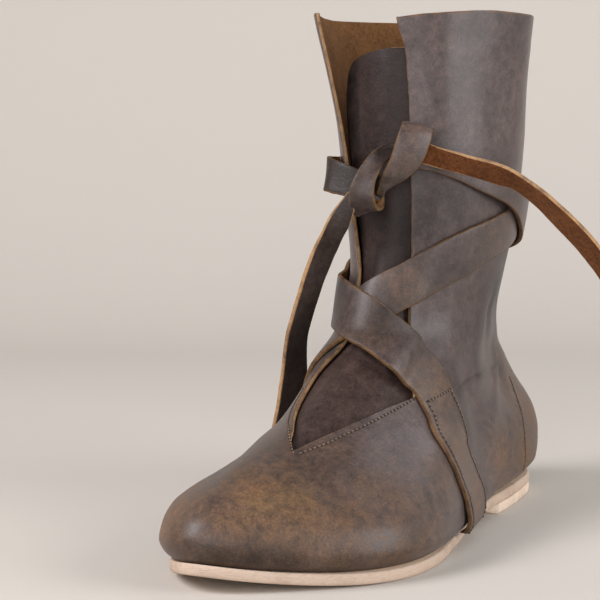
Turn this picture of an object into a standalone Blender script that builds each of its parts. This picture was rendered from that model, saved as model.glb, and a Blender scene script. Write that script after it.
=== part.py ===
# Lace-up wrap boot, left foot: pale leather sole and heel lift, soft hollow upper, tongue, two wrapping straps.
# Lengths are millimetres in the shoe's own frame: x from the heel's back to the toe, y to the outer side, z up.
import bpy
import bmesh
import numpy as np

for item in list(bpy.data.objects):
    bpy.data.objects.remove(item, do_unlink=True)

# Driving sizes of the shoe
MM = 0.001
SOLE_LENGTH = 247.0
OUTSOLE_THICKNESS = 4.5
HEEL_LIFT = 4.5
HEEL_BREAST_X = 70.0
HEEL_RAMP_END_X = 128.0
SPRING_START_X = 178.0
TOE_SPRING = 7.0
LEVEL_START = 30.0
LEVEL_END = 120.0
SEAT_GAP = 0.3
WALL = 2.0
INSOLE_THICKNESS = 2.5
INSOLE_CLEARANCE = 0.5
TONGUE_GAP = 0.45
TONGUE_THICKNESS = 1.8
COLLAR_HEIGHT = 203.5
THROAT_HEIGHT = 40.5
FLARE = 4.0
FLARE_START = 140.0
FLARE_TURN = 0.08
STRAP_THICKNESS = 2.2
STRAP_LIFT = 0.6
HUG_LIFT = 1.0
BULGE_LIFT = 1.6
CROSSING_LIFT = 3.8
CENTRE_X = 122.0
CENTRE_Y = 1.3
SPRING_POWER = 3
SOLE_FLAT = 6.0
COLLAR_FLAT = 12.0
DIP_START = 185.0
STRAP_LOWEST = 0.6

# Counts and steps of the faceted pieces
CONTROL_COUNT = 14
WALL_COLUMNS = 52
TONGUE_CELLS = 10
STRAP_CELLS = 4
STRIDES_PER_CELL = 4
STRAP_STEP = 5.0
RIBBON_STEP = 6.0
FEWEST_ROWS = 4
FINE_ROWS = 400
SOLE_STATIONS = 36
SOLE_CELLS = 4
SOLE_END_TURN = 0.004
LIFT_STATIONS = 14
LIFT_CELLS = 3
INSOLE_STATIONS = 30
INSOLE_CELLS = 4
INSOLE_END_TURN = 0.012
NUDGE_TURN = 0.002
NUDGE_HEIGHT = 0.4

# Stations along every level, as shares of the length from the back to the tip
STATIONS = (("tip", 0.93), ("toe", 0.82), ("ball", 0.68), ("waist", 0.44), ("heel", 0.17))
BACK_CORNER_SHARE = 0.035
FOOT_BACK_ROUND = 0.74
LEG_BACK_ROUND = 0.5

# One row per level of the upper above the sole's top: tip position, then outer and inner station widths
LEVEL_COLUMNS = ("height", "tip_x", "tip_y", "tip_out", "tip_in", "toe_out", "toe_in", "ball_out", "ball_in",
                 "waist_out", "waist_in", "heel_out", "heel_in", "back_x")
LEVELS = np.array([
    (0.0, 244.5, -14.0, 13.0, -34.0, 36.0, -41.0, 44.0, -40.0, 34.0, -23.5, 29.5, -26.5, 2.0),
    (3.0, 247.0, -14.5, 15.5, -37.0, 39.2, -44.3, 47.5, -43.3, 39.5, -28.5, 32.5, -30.0, -1.0),
    (7.0, 248.0, -15.0, 16.5, -38.5, 41.5, -46.0, 49.5, -45.0, 40.5, -31.0, 35.0, -32.5, -3.0),
    (14.0, 245.5, -14.5, 16.5, -38.2, 41.0, -45.6, 49.5, -45.0, 39.5, -33.0, 35.5, -33.5, -4.0),
    (20.0, 240.0, -14.5, 17.0, -37.4, 39.0, -44.4, 47.5, -42.5, 37.5, -32.0, 35.2, -33.0, -4.0),
    (26.0, 231.5, -13.5, 17.5, -33.4, 36.0, -39.8, 44.5, -39.0, 35.5, -30.5, 34.0, -32.0, -3.0),
    (31.0, 221.5, -12.0, 17.5, -27.3, 33.0, -34.5, 41.0, -35.5, 34.0, -29.5, 32.0, -30.5, -2.0),
    (36.0, 210.5, -10.5, 17.0, -22.9, 29.0, -29.6, 37.5, -32.0, 32.5, -29.0, 29.0, -28.5, -0.5),
    (40.0, 197.5, -8.5, 16.0, -22.5, 26.0, -28.0, 34.0, -29.5, 31.0, -28.5, 26.3, -26.5, 1.5),
    (45.0, 184.0, -6.5, 14.5, -20.0, 23.5, -25.5, 31.0, -28.0, 29.7, -27.5, 23.7, -24.0, 4.5),
    (52.0, 172.0, -5.0, 13.0, -18.0, 21.5, -23.5, 28.5, -27.0, 29.0, -27.0, 21.5, -21.5, 9.0),
    (62.0, 156.0, -3.5, 11.5, -16.5, 19.5, -22.5, 26.5, -26.0, 27.5, -26.5, 19.5, -19.5, 14.0),
    (76.0, 133.5, 0.0, 11.5, -12.5, 18.5, -19.0, 25.5, -24.0, 28.0, -26.0, 20.0, -20.0, 17.5),
    (92.0, 126.0, 1.0, 14.0, -12.5, 21.5, -19.0, 28.0, -24.5, 30.5, -27.0, 23.0, -21.5, 19.5),
    (110.0, 121.0, 2.0, 17.5, -13.0, 26.0, -21.0, 32.0, -26.5, 34.0, -29.0, 26.5, -22.0, 20.0),
    (145.0, 120.5, 2.0, 20.5, -16.0, 30.5, -25.5, 36.5, -31.5, 39.0, -34.0, 30.5, -26.0, 17.5),
    (180.0, 122.0, 1.0, 21.5, -19.5, 32.5, -30.0, 39.0, -36.5, 42.0, -39.5, 32.0, -29.5, 15.5),
    (203.5, 124.0, 0.0, 22.5, -22.5, 34.0, -34.0, 41.0, -41.0, 44.0, -44.0, 33.0, -33.0, 14.0),
])
SOLE_EDGE = np.array([
    (0.0, SOLE_LENGTH, -14.0, 14.0, -34.5, 39.5, -43.0, 47.0, -43.0, 36.5, -26.0, 32.5, -29.0, 0.0),
])

# Dip of the collar below its height. Columns: turn, dip
COLLAR_DIP = np.array([
    (0.0, 3.2),
    (0.03, 3.0),
    (0.055, 1.8),
    (0.095, 1.0),
    (0.15, 0.25),
    (0.2, 0.0),
    (0.28, 0.9),
    (0.4, 1.5),
    (0.6, 2.4),
    (0.75, 2.5),
    (0.83, 1.5),
    (0.895, 0.5),
    (1.0, 3.2),
])

# Front opening, one row per height. Columns: height, outer_turn, inner_turn
OPENING = np.array([
    (40.5, 0.023, 0.023),
    (42.0, 0.028, 0.013),
    (44.0, 0.037, 0.003),
    (46.5, 0.053, -0.009),
    (49.0, 0.075, -0.027),
    (51.5, 0.112, -0.042),
    (54.0, 0.163, -0.052),
    (57.0, 0.158, -0.058),
    (63.0, 0.138, -0.060),
    (71.0, 0.115, -0.052),
    (81.0, 0.092, -0.048),
    (95.0, 0.066, -0.050),
    (112.0, 0.050, -0.076),
    (135.0, 0.043, -0.097),
    (160.0, 0.039, -0.105),
    (183.0, 0.036, -0.105),
    (203.5, 0.026, -0.105),
])
WALL_LEVELS = (0.3, 3.0, 7.0, 12.0, 17.5, 23.0, 28.0, 32.5, 36.5, 40.5, 42.0, 44.0, 46.5, 49.0, 51.5, 54.0,
               57.0, 62.0, 68.0, 74.5, 82.0, 91.0, 102.0, 118.0, 138.0, 160.0, 183.0, 203.5)

# Tongue, one row per height. Columns: height, outer_turn, inner_turn, extra_depth inward
TONGUE = np.array([
    (34.0, 0.070, -0.030, 0.0),
    (40.0, 0.100, -0.055, 0.3),
    (46.0, 0.150, -0.080, 0.2),
    (51.0, 0.200, -0.095, 0.0),
    (57.0, 0.215, -0.105, 0.2),
    (64.0, 0.190, -0.110, 0.4),
    (74.0, 0.160, -0.112, 0.5),
    (88.0, 0.130, -0.114, 0.5),
    (104.0, 0.115, -0.116, 0.5),
    (122.0, 0.110, -0.120, 0.6),
    (142.0, 0.110, -0.124, 0.9),
    (158.0, 0.110, -0.124, 1.4),
    (167.0, 0.110, -0.119, 2.0),
    (174.0, 0.108, -0.106, 2.8),
    (180.0, 0.104, -0.084, 3.6),
    (184.0, 0.096, -0.056, 4.3),
    (186.6, 0.080, -0.022, 4.9),
    (188.0, 0.055, 0.012, 5.2),
])

# Straps, one row per point of the run. Columns: turn, height, width, lift above the upper
STRAP_OUTER = np.array([
    (0.272, 2.0, 27.0, BULGE_LIFT),
    (0.270, 9.5, 28.5, BULGE_LIFT),
    (0.267, 17.0, 29.5, HUG_LIFT),
    (0.256, 25.3, 29.5, STRAP_LIFT),
    (0.243, 33.2, 29.0, STRAP_LIFT),
    (0.232, 40.2, 27.5, STRAP_LIFT),
    (0.219, 46.0, 25.4, STRAP_LIFT),
    (0.206, 51.8, 23.0, STRAP_LIFT),
    (0.184, 58.4, 21.6, STRAP_LIFT),
    (0.147, 64.5, 22.9, STRAP_LIFT),
    (0.106, 67.2, 24.6, CROSSING_LIFT),
    (0.067, 70.8, 24.4, CROSSING_LIFT),
    (0.007, 78.2, 22.8, CROSSING_LIFT),
    (-0.068, 84.6, 21.0, CROSSING_LIFT),
    (-0.140, 87.0, 19.0, CROSSING_LIFT),
    (-0.200, 90.0, 18.0, STRAP_LIFT),
    (-0.350, 97.0, 18.0, STRAP_LIFT),
    (-0.430, 101.2, 18.0, HUG_LIFT),
    (-0.500, 105.0, 18.0, HUG_LIFT),
    (-0.560, 109.0, 18.0, CROSSING_LIFT),
    (-0.620, 113.7, 18.0, CROSSING_LIFT),
    (-0.680, 120.0, 16.0, CROSSING_LIFT),
    (-0.741, 130.5, 14.0, CROSSING_LIFT),
    (-0.839, 138.0, 10.5, STRAP_LIFT),
    (-0.930, 144.0, 10.0, STRAP_LIFT),
    (-0.966, 146.0, 10.0, STRAP_LIFT),
])
STRAP_INNER = np.array([
    (-0.262, 2.0, 24.0, HUG_LIFT),
    (-0.260, 8.0, 24.0, HUG_LIFT),
    (-0.255, 15.0, 24.0, STRAP_LIFT),
    (-0.248, 23.2, 24.0, STRAP_LIFT),
    (-0.243, 31.0, 23.5, STRAP_LIFT),
    (-0.235, 38.2, 23.0, STRAP_LIFT),
    (-0.225, 44.2, 22.5, STRAP_LIFT),
    (-0.209, 50.5, 22.0, STRAP_LIFT),
    (-0.183, 57.5, 21.5, STRAP_LIFT),
    (-0.140, 65.6, 21.0, STRAP_LIFT),
    (-0.085, 74.5, 20.0, HUG_LIFT),
    (-0.020, 84.0, 19.0, STRAP_LIFT),
    (0.050, 93.0, 17.0, STRAP_LIFT),
    (0.154, 103.6, 19.0, STRAP_LIFT),
    (0.237, 110.0, 18.0, STRAP_LIFT),
    (0.290, 114.0, 18.0, STRAP_LIFT),
    (0.400, 121.5, 18.0, STRAP_LIFT),
    (0.440, 124.3, 18.0, HUG_LIFT),
    (0.500, 128.0, 18.0, HUG_LIFT),
    (0.560, 131.2, 18.0, HUG_LIFT),
    (0.620, 133.0, 17.0, STRAP_LIFT),
    (0.750, 135.0, 16.0, STRAP_LIFT),
    (0.840, 135.5, 16.0, STRAP_LIFT),
    (0.880, 136.0, 16.0, STRAP_LIFT),
])

# Knot pieces and free ends, one row per point. Columns: x, y, z, then half of the width as a direction
KNOT_STUB = np.array([
    (124.0, 4.0, 141.0, -0.9, 0.7, 5.0),
    (129.1, 0.6, 141.9, -1.1, 0.8, 5.4),
    (132.0, -4.3, 143.0, -1.1, 0.8, 5.7),
    (132.3, -9.7, 144.6, -1.0, 0.6, 6.3),
    (130.4, -16.4, 146.1, -1.3, 1.0, 6.5),
    (125.0, -20.0, 146.5, -0.8, 0.2, 7.0),
    (116.5, -22.4, 145.6, -0.2, -0.5, 7.6),
    (108.0, -23.1, 144.9, 0.0, -0.9, 7.9),
])
KNOT_WRAP = np.array([
    (118.9, 8.2, 157.2, 0.1, -1.9, 2.4),
    (125.0, 5.5, 155.5, 0.8, -2.1, 2.2),
    (130.5, 4.3, 152.8, 1.0, -2.5, 2.1),
    (135.3, 2.6, 147.8, 1.5, -3.3, 1.5),
    (137.6, 1.1, 141.9, 1.8, -4.3, 0.6),
    (137.2, 0.6, 137.3, 1.2, -5.1, -0.1),
    (133.3, 0.5, 133.0, 0.3, -5.4, -1.0),
    (128.6, 0.5, 132.6, 0.1, -5.5, -1.7),
    (125.4, 0.1, 135.1, 0.1, -4.7, -1.7),
    (125.4, 0.4, 140.0, 0.1, -4.5, -1.5),
])
KNOT_FOLD = np.array([
    (123.6, 2.4, 137.4, 1.6, -0.8, -0.3),
    (127.9, 5.5, 140.2, 1.6, -0.8, -0.3),
    (128.4, 8.8, 144.0, 2.6, -2.6, 0.8),
    (128.6, 12.4, 147.5, 3.7, -3.9, 0.9),
    (128.1, 16.3, 153.4, 4.3, -5.0, 1.0),
    (126.1, 18.5, 161.3, 4.6, -5.3, 0.7),
    (123.5, 18.6, 165.0, 3.9, -5.1, 1.4),
    (120.2, 17.5, 166.0, 3.4, -5.3, 1.5),
    (118.1, 16.6, 164.4, 3.0, -5.2, 1.5),
])
END_OUTER = np.array([
    (119.9, 19.1, 155.4, -0.4, 1.6, 4.1),
    (118.8, 22.4, 154.4, 0.3, 1.6, 3.9),
    (116.8, 28.2, 152.7, 1.4, 0.9, 4.0),
    (113.8, 37.4, 150.4, 2.6, 1.0, 3.9),
    (109.9, 48.2, 147.1, 3.4, 1.6, 4.0),
    (107.3, 55.1, 144.1, 3.6, 2.1, 3.1),
    (104.0, 63.9, 137.4, 4.0, 2.7, 3.2),
    (101.6, 72.8, 128.6, 3.7, 3.2, 3.4),
    (98.9, 80.1, 120.7, 3.7, 3.3, 3.5),
    (95.2, 87.8, 110.1, 3.5, 3.5, 3.4),
    (91.3, 94.2, 97.2, 3.4, 4.1, 2.9),
    (89.0, 98.7, 82.9, 2.9, 4.2, 2.1),
    (88.0, 101.1, 67.0, 2.4, 4.4, 1.4),
])
END_INNER = np.array([
    (136.3, -5.4, 133.0, 0.4, -1.8, 4.0),
    (136.2, -8.5, 129.6, 2.0, -2.1, 3.8),
    (135.9, -12.5, 123.3, 3.6, -1.9, 3.2),
    (131.8, -19.9, 112.2, 5.2, -1.9, 1.8),
    (130.2, -26.5, 97.0, 5.6, -1.6, 1.2),
    (127.7, -32.8, 80.0, 5.8, -1.7, 0.8),
    (123.1, -36.6, 64.0, 6.4, -2.4, 0.6),
    (122.5, -38.4, 47.0, 7.4, -3.0, 0.5),
    (122.5, -43.0, 31.0, 7.4, -2.6, 0.5),
    (123.5, -45.5, 18.0, 7.2, -2.4, 0.5),
])


def smoothstep(value, start, end):
    share = np.clip((value - start) / (end - start), 0.0, 1.0)
    return share * share * (3.0 - 2.0 * share)


def monotone(keys, values, query):
    # Shape-keeping cubic through table rows, one column or many
    keys = np.asarray(keys, float)
    values = np.asarray(values, float)
    flat = values.ndim == 1
    values = values.reshape(len(keys), -1)
    step = np.diff(keys)[:, None]
    slope = np.diff(values, axis=0) / step
    tangent = np.zeros_like(values)
    tangent[0] = slope[0]
    tangent[-1] = slope[-1]
    for row in range(1, len(keys) - 1):
        before = slope[row - 1]
        after = slope[row]
        same = before * after > 0
        weight_a = 2 * step[row] + step[row - 1]
        weight_b = step[row] + 2 * step[row - 1]
        safe_before = np.where(same, before, 1.0)
        safe_after = np.where(same, after, 1.0)
        mean = (weight_a + weight_b) / (weight_a / safe_before + weight_b / safe_after)
        tangent[row] = np.where(same, mean, 0.0)
    query = np.atleast_1d(np.asarray(query, float))
    index = np.clip(np.searchsorted(keys, query, side="right") - 1, 0, len(keys) - 2)
    width = (keys[index + 1] - keys[index])[:, None]
    share = ((query - keys[index])[:, None]) / width
    share = np.clip(share, 0.0, 1.0)
    first = (1 + 2 * share) * (1 - share) ** 2
    first_slope = share * (1 - share) ** 2
    second = share ** 2 * (3 - 2 * share)
    second_slope = share ** 2 * (share - 1)
    result = (first * values[index] + first_slope * width * tangent[index]
              + second * values[index + 1] + second_slope * width * tangent[index + 1])
    return result[:, 0] if flat else result


def control_points(rows):
    # Fourteen plan points of each level, from the tip round the outer side, the back and the inner side
    level = dict(zip(LEVEL_COLUMNS, np.atleast_2d(rows).T))
    back_x = level["back_x"]
    length = level["tip_x"] - back_x
    outer = []
    inner = []
    for name, share in STATIONS:
        station = back_x + share * length
        outer.append(np.stack([station, level[name + "_out"]], 1))
        inner.append(np.stack([station, level[name + "_in"]], 1))
    corner = back_x + BACK_CORNER_SHARE * length
    middle = 0.5 * (level["heel_out"] + level["heel_in"])
    leg = smoothstep(level["height"], LEVEL_START, LEVEL_END)
    roundness = FOOT_BACK_ROUND * (1 - leg) + LEG_BACK_ROUND * leg
    outer.append(np.stack([corner, middle + (level["heel_out"] - middle) * roundness], 1))
    inner.append(np.stack([corner, middle + (level["heel_in"] - middle) * roundness], 1))
    tip = np.stack([level["tip_x"], level["tip_y"]], 1)
    back = np.stack([back_x, middle], 1)
    ring = [tip] + outer + [back] + inner[::-1]
    return np.stack(ring, 1)


def around(ring, turn):
    # Smooth closed curve through the plan points; turn runs from 0 at the tip to 1
    place = (np.asarray(turn, float) % 1.0) * CONTROL_COUNT
    index = np.floor(place).astype(int)
    share = (place - index)[:, None]
    rows = np.arange(len(ring))
    points = [ring[rows, (index + shift) % CONTROL_COUNT] for shift in (-1, 0, 1, 2)]
    before, start, end, after = points
    return 0.5 * (2 * start + (end - before) * share
                  + (2 * before - 5 * start + 4 * end - after) * share ** 2
                  + (3 * start - before - 3 * end + after) * share ** 3)


def sole_rise(x):
    # Height of the sole's underside: heel lift, level forefoot, toe spring
    heel = HEEL_LIFT * (1.0 - smoothstep(x, HEEL_BREAST_X, HEEL_RAMP_END_X))
    reach = np.clip((x - SPRING_START_X) / (SOLE_LENGTH - SPRING_START_X), 0.0, None)
    return heel + TOE_SPRING * reach ** SPRING_POWER


def surface_base(turn, height):
    ring = control_points(monotone(LEVELS[:, 0], LEVELS, height))
    plan = around(ring, turn)
    level = smoothstep(height, LEVEL_START, LEVEL_END)
    rise = sole_rise(plan[:, 0]) * (1 - level) + HEEL_LIFT * level
    dip = np.interp(np.asarray(turn, float) % 1.0, *COLLAR_DIP.T)
    rise = rise - dip * smoothstep(height, DIP_START, COLLAR_HEIGHT)
    return np.column_stack([plan, height + OUTSOLE_THICKNESS + rise])


def surface_normal(turn, height):
    low = np.clip(height - NUDGE_HEIGHT, 0.0, COLLAR_HEIGHT)
    high = np.clip(height + NUDGE_HEIGHT, 0.0, COLLAR_HEIGHT)
    along = surface_base(turn + NUDGE_TURN, height) - surface_base(turn - NUDGE_TURN, height)
    upward = surface_base(turn, high) - surface_base(turn, low)
    normal = np.cross(along, upward)
    off_sole = smoothstep(height, 0.0, SOLE_FLAT)
    at_collar = smoothstep(height, COLLAR_HEIGHT - COLLAR_FLAT, COLLAR_HEIGHT)
    normal[:, 2] *= off_sole * (1 - at_collar)
    return normal / np.linalg.norm(normal, axis=1)[:, None]


def surface(turn, height, lift=0.0):
    # Point of the upper's outer face, moved out by lift
    turn, height, lift = np.broadcast_arrays(*(np.asarray(value, float) for value in (turn, height, lift)))
    shape = turn.shape
    turn = turn.ravel()
    height = height.ravel()
    point = surface_base(turn, height) + surface_normal(turn, height) * lift.ravel()[:, None]
    return point.reshape(shape + (3,))


# Objects of the shoe
def material(name, colour, roughness):
    finish = bpy.data.materials.new(name)
    finish.use_nodes = True
    shader = finish.node_tree.nodes["Principled BSDF"]
    shader.inputs["Base Color"].default_value = (*colour, 1.0)
    shader.inputs["Roughness"].default_value = roughness
    shader.inputs["Metallic"].default_value = 0.0
    return finish


def solid(name, points, faces, finish):
    # Closed faceted body in metres, with the row frame's origin below the shoe's middle
    points = (np.asarray(points, float) - np.array((CENTRE_X, CENTRE_Y, 0.0))) * MM
    mesh = bpy.data.meshes.new(name)
    mesh.from_pydata(points.tolist(), [], faces)
    body = bmesh.new()
    body.from_mesh(mesh)
    bmesh.ops.recalc_face_normals(body, faces=body.faces[:])
    bmesh.ops.triangulate(body, faces=body.faces[:])
    body.to_mesh(mesh)
    body.free()
    mesh.materials.append(finish)
    thing = bpy.data.objects.new(name, mesh)
    bpy.context.scene.collection.objects.link(thing)
    return thing


def shell(outer, inner, numbers=None):
    # Points and faces between two matching sheets, with walls along every free edge
    rows, columns = outer.shape[:2]
    if numbers is None:
        numbers = np.arange(rows * columns).reshape(rows, columns)
    used, order = np.unique(numbers.ravel(), return_index=True)
    place = {int(number): spot for spot, number in enumerate(used)}
    count = len(used)
    points = np.vstack([outer.reshape(-1, 3)[order], inner.reshape(-1, 3)[order]])
    faces = []
    for row in range(rows - 1):
        for column in range(columns - 1):
            corners = [numbers[row, column], numbers[row, column + 1],
                       numbers[row + 1, column + 1], numbers[row + 1, column]]
            loop = []
            for corner in corners:
                spot = place[int(corner)]
                if spot not in loop:
                    loop.append(spot)
            if len(loop) >= 3:
                faces.append(loop)
    edges = {}
    for loop in faces:
        for first, second in zip(loop, loop[1:] + loop[:1]):
            edges[(first, second)] = True
    walls = []
    for first, second in edges:
        if (second, first) not in edges:
            walls.append([second, first, first + count, second + count])
    inside = [[spot + count for spot in loop[::-1]] for loop in faces]
    return points, faces + inside + walls


def outline(ring, turns, inset):
    # Points of a plan outline, moved inward by inset along its own normal
    rings = np.repeat(ring, len(turns), 0)
    line = around(rings, turns)
    along = around(rings, turns + NUDGE_TURN) - around(rings, turns - NUDGE_TURN)
    inward = np.column_stack([-along[:, 1], along[:, 0]])
    inward /= np.linalg.norm(inward, axis=1)[:, None]
    return line + inward * inset


def plate(ring, turns, inset, low, high, cells):
    # Flat piece between the outer and inner halves of a plan outline; low and high give z from x
    outer_edge = outline(ring, turns, inset)
    inner_edge = outline(ring, 1.0 - turns, inset)
    shares = np.linspace(0.0, 1.0, cells + 1)[None, :, None]
    plan = outer_edge[:, None] * (1 - shares) + inner_edge[:, None] * shares
    top = np.concatenate([plan, high(plan[..., 0])[..., None]], 2)
    bottom = np.concatenate([plan, low(plan[..., 0])[..., None]], 2)
    return top, bottom


def turn_at(ring, target_x):
    # Turn on the outer half of an outline where it crosses one x
    turns = np.linspace(0.0, 0.5, FINE_ROWS)
    line = around(np.repeat(ring, len(turns), 0), turns)[:, 0]
    return float(np.interp(-target_x, -line, turns))


def smooth_rows(table, count):
    # Even samples of a smooth run through table rows, spaced by their distance in the first columns
    keys = np.arange(len(table), dtype=float)
    padded = np.vstack([2 * table[0] - table[1], table, 2 * table[-1] - table[-2]])
    query = np.linspace(0.0, len(table) - 1.0, count)
    index = np.clip(np.floor(query).astype(int), 0, len(table) - 2)
    share = (query - keys[index])[:, None]
    before, start, end, after = (padded[index + shift] for shift in range(4))
    return 0.5 * (2 * start + (end - before) * share
                  + (2 * before - 5 * start + 4 * end - after) * share ** 2
                  + (3 * start - before - 3 * end + after) * share ** 3)


def even_rows(table, place, step):
    # Resample a smooth run so that its points lie about one step apart
    fine = smooth_rows(table, FINE_ROWS)
    gaps = np.linalg.norm(np.diff(place(fine), axis=0), axis=1)
    travel = np.concatenate([[0.0], np.cumsum(gaps)])
    count = max(FEWEST_ROWS, int(round(travel[-1] / step)) + 1)
    marks = np.linspace(0.0, travel[-1], count)
    return np.column_stack([np.interp(marks, travel, column) for column in fine.T])


def strap_sheet(table, lift_extra):
    # Strip on the upper's own surface: from the middle line, step sideways over the surface to both edges
    run = even_rows(table, lambda rows: surface(rows[:, 0], rows[:, 1]), STRAP_STEP)
    turn, height, width, lift = run.T
    points = surface(turn, height)
    along = np.gradient(points, axis=0)
    along /= np.linalg.norm(along, axis=1)[:, None]
    columns = [None] * (STRAP_CELLS + 1)
    for side in (-1.0, 1.0):
        spot_turn = turn.copy()
        spot_height = height.copy()
        steps = STRIDES_PER_CELL * STRAP_CELLS // 2
        for number in range(steps + 1):
            if number % STRIDES_PER_CELL == 0:
                cell = STRAP_CELLS // 2 + int(side) * number // STRIDES_PER_CELL
                columns[cell] = (spot_turn.copy(), spot_height.copy())
            normal = surface_normal(spot_turn, spot_height)
            sideways = side * np.cross(normal, along)
            ahead = surface(spot_turn + NUDGE_TURN, spot_height)
            behind = surface(spot_turn - NUDGE_TURN, spot_height)
            by_turn = (ahead - behind) / (2 * NUDGE_TURN)
            low = np.clip(spot_height - NUDGE_HEIGHT, 0.0, COLLAR_HEIGHT)
            high = np.clip(spot_height + NUDGE_HEIGHT, 0.0, COLLAR_HEIGHT)
            by_height = (surface(spot_turn, high) - surface(spot_turn, low)) / (high - low)[:, None]
            aa = (by_turn * by_turn).sum(1)
            bb = (by_height * by_height).sum(1)
            ab = (by_turn * by_height).sum(1)
            ra = (by_turn * sideways).sum(1)
            rb = (by_height * sideways).sum(1)
            scale = aa * bb - ab * ab
            stride = width / 2.0 / steps
            spot_turn = spot_turn + (ra * bb - rb * ab) / scale * stride
            spot_height = spot_height + (rb * aa - ra * ab) / scale * stride
            spot_height = np.clip(spot_height, STRAP_LOWEST, COLLAR_HEIGHT)
    sheet = [surface(spot[0], spot[1], lift + lift_extra) for spot in columns]
    return np.stack(sheet, 1)


def ribbon(table, thickness):
    # Flat strap through space as a closed bar of four corners per station
    run = even_rows(table, lambda rows: rows[:, :3], RIBBON_STEP)
    middle = run[:, :3]
    half = run[:, 3:]
    along = np.gradient(middle, axis=0)
    face = np.cross(along, half)
    face /= np.linalg.norm(face, axis=1)[:, None]
    outer = np.stack([middle - half + face * thickness / 2, middle + half + face * thickness / 2], 1)
    inner = np.stack([middle - half - face * thickness / 2, middle + half - face * thickness / 2], 1)
    return shell(outer, inner)


def joined(name, pieces, finish):
    # One body from overlapping ribbons
    base = solid(name, *pieces[0], finish)
    for piece in pieces[1:]:
        other = solid(name + "_piece", *piece, finish)
        step = base.modifiers.new("join", "BOOLEAN")
        step.operation = "UNION"
        step.solver = "EXACT"
        step.object = other
        bpy.context.view_layer.objects.active = base
        bpy.ops.object.modifier_apply(modifier=step.name)
        bpy.data.objects.remove(other, do_unlink=True)
    return base


# Outsole: pale veg-tan leather cut to the foot's outline, level forefoot, sprung toe and raised heel seat
PALE_LEATHER = material("pale_leather", (0.72, 0.55, 0.42), 0.7)
edge_ring = control_points(SOLE_EDGE)
sole_turns = np.linspace(SOLE_END_TURN, 0.5 - SOLE_END_TURN, SOLE_STATIONS)
sole_top, sole_bottom = plate(edge_ring, sole_turns, 0.0, sole_rise,
                              lambda x: sole_rise(x) + OUTSOLE_THICKNESS, SOLE_CELLS)
solid("outsole", *shell(sole_top, sole_bottom), PALE_LEATHER)

# Heel lift: one low layer of the same leather under the heel seat, with a straight breast
LIFT_LEATHER = material("lift_leather", (0.70, 0.53, 0.40), 0.7)
breast_turn = turn_at(edge_ring, HEEL_BREAST_X)
lift_turns = np.linspace(breast_turn, 0.5 - SOLE_END_TURN, LIFT_STATIONS)
lift_top, lift_bottom = plate(edge_ring, lift_turns, 0.0, lambda x: x * 0.0,
                              lambda x: x * 0.0 + HEEL_LIFT - SEAT_GAP, LIFT_CELLS)
solid("heel_lift", *shell(lift_top, lift_bottom), LIFT_LEATHER)

# Insole: plain leather inside the upper's wall, on the outsole
INSOLE_LEATHER = material("insole_leather", (0.42, 0.28, 0.17), 0.85)
feather_ring = control_points(LEVELS[:1])
insole_turns = np.linspace(INSOLE_END_TURN, 0.5 - INSOLE_END_TURN, INSOLE_STATIONS)
insole_seat = OUTSOLE_THICKNESS + SEAT_GAP
insole_top, insole_bottom = plate(feather_ring, insole_turns, WALL + INSOLE_CLEARANCE,
                                  lambda x: sole_rise(x) + insole_seat,
                                  lambda x: sole_rise(x) + insole_seat + INSOLE_THICKNESS, INSOLE_CELLS)
solid("insole", *shell(insole_top, insole_bottom), INSOLE_LEATHER)

# Upper: one soft hollow wall of oiled leather, closed over the toe and open along the throat and leg
DARK_LEATHER = material("dark_leather", (0.085, 0.058, 0.045), 0.55)


def upper_sheet(lift):
    levels = np.array(WALL_LEVELS)
    shares = np.linspace(0.0, 1.0, WALL_COLUMNS + 1)
    edge_height, edge_outer, edge_inner = OPENING.T
    outer_turn = monotone(edge_height, edge_outer, np.maximum(levels, THROAT_HEIGHT))
    inner_turn = monotone(edge_height, edge_inner, np.maximum(levels, THROAT_HEIGHT))
    turn = outer_turn[:, None] + (1.0 + inner_turn - outer_turn)[:, None] * shares[None, :]
    height = np.repeat(levels[:, None], WALL_COLUMNS + 1, 1)
    from_edge = 1.0 + inner_turn[:, None] - turn
    near_edge = 1 - smoothstep(from_edge, 0.0, FLARE_TURN)
    flare = FLARE * smoothstep(height, FLARE_START, COLLAR_HEIGHT) * near_edge
    return surface(turn, height, lift + flare)


upper_numbers = np.arange(len(WALL_LEVELS) * (WALL_COLUMNS + 1)).reshape(len(WALL_LEVELS), WALL_COLUMNS + 1)
closed_levels = np.array(WALL_LEVELS) <= THROAT_HEIGHT
upper_numbers[closed_levels, -1] = upper_numbers[closed_levels, 0]
solid("upper", *shell(upper_sheet(0.0), upper_sheet(-WALL), upper_numbers), DARK_LEATHER)

# Tongue: tall leather piece behind the throat and the leg opening, rounded at its top
TONGUE_LEATHER = material("tongue_leather", (0.060, 0.050, 0.048), 0.6)


def tongue_sheet(depth):
    shares = np.linspace(0.0, 1.0, TONGUE_CELLS + 1)
    height, outer_turn, inner_turn, extra_depth = (column[:, None] for column in TONGUE.T)
    turn = outer_turn * (1 - shares) + inner_turn * shares
    return surface(turn, height, -(WALL + TONGUE_GAP + depth + extra_depth))


solid("tongue", *shell(tongue_sheet(0.0), tongue_sheet(TONGUE_THICKNESS)), TONGUE_LEATHER)

# Straps: each is sewn down the quarter's front edge, then crosses the instep and wraps the leg
OUTER_STRAP_LEATHER = material("outer_strap_leather", (0.095, 0.064, 0.050), 0.55)
solid("strap_outer", *shell(strap_sheet(STRAP_OUTER, STRAP_THICKNESS), strap_sheet(STRAP_OUTER, 0.0)),
      OUTER_STRAP_LEATHER)
INNER_STRAP_LEATHER = material("inner_strap_leather", (0.092, 0.062, 0.049), 0.55)
solid("strap_inner", *shell(strap_sheet(STRAP_INNER, STRAP_THICKNESS), strap_sheet(STRAP_INNER, 0.0)),
      INNER_STRAP_LEATHER)

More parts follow.
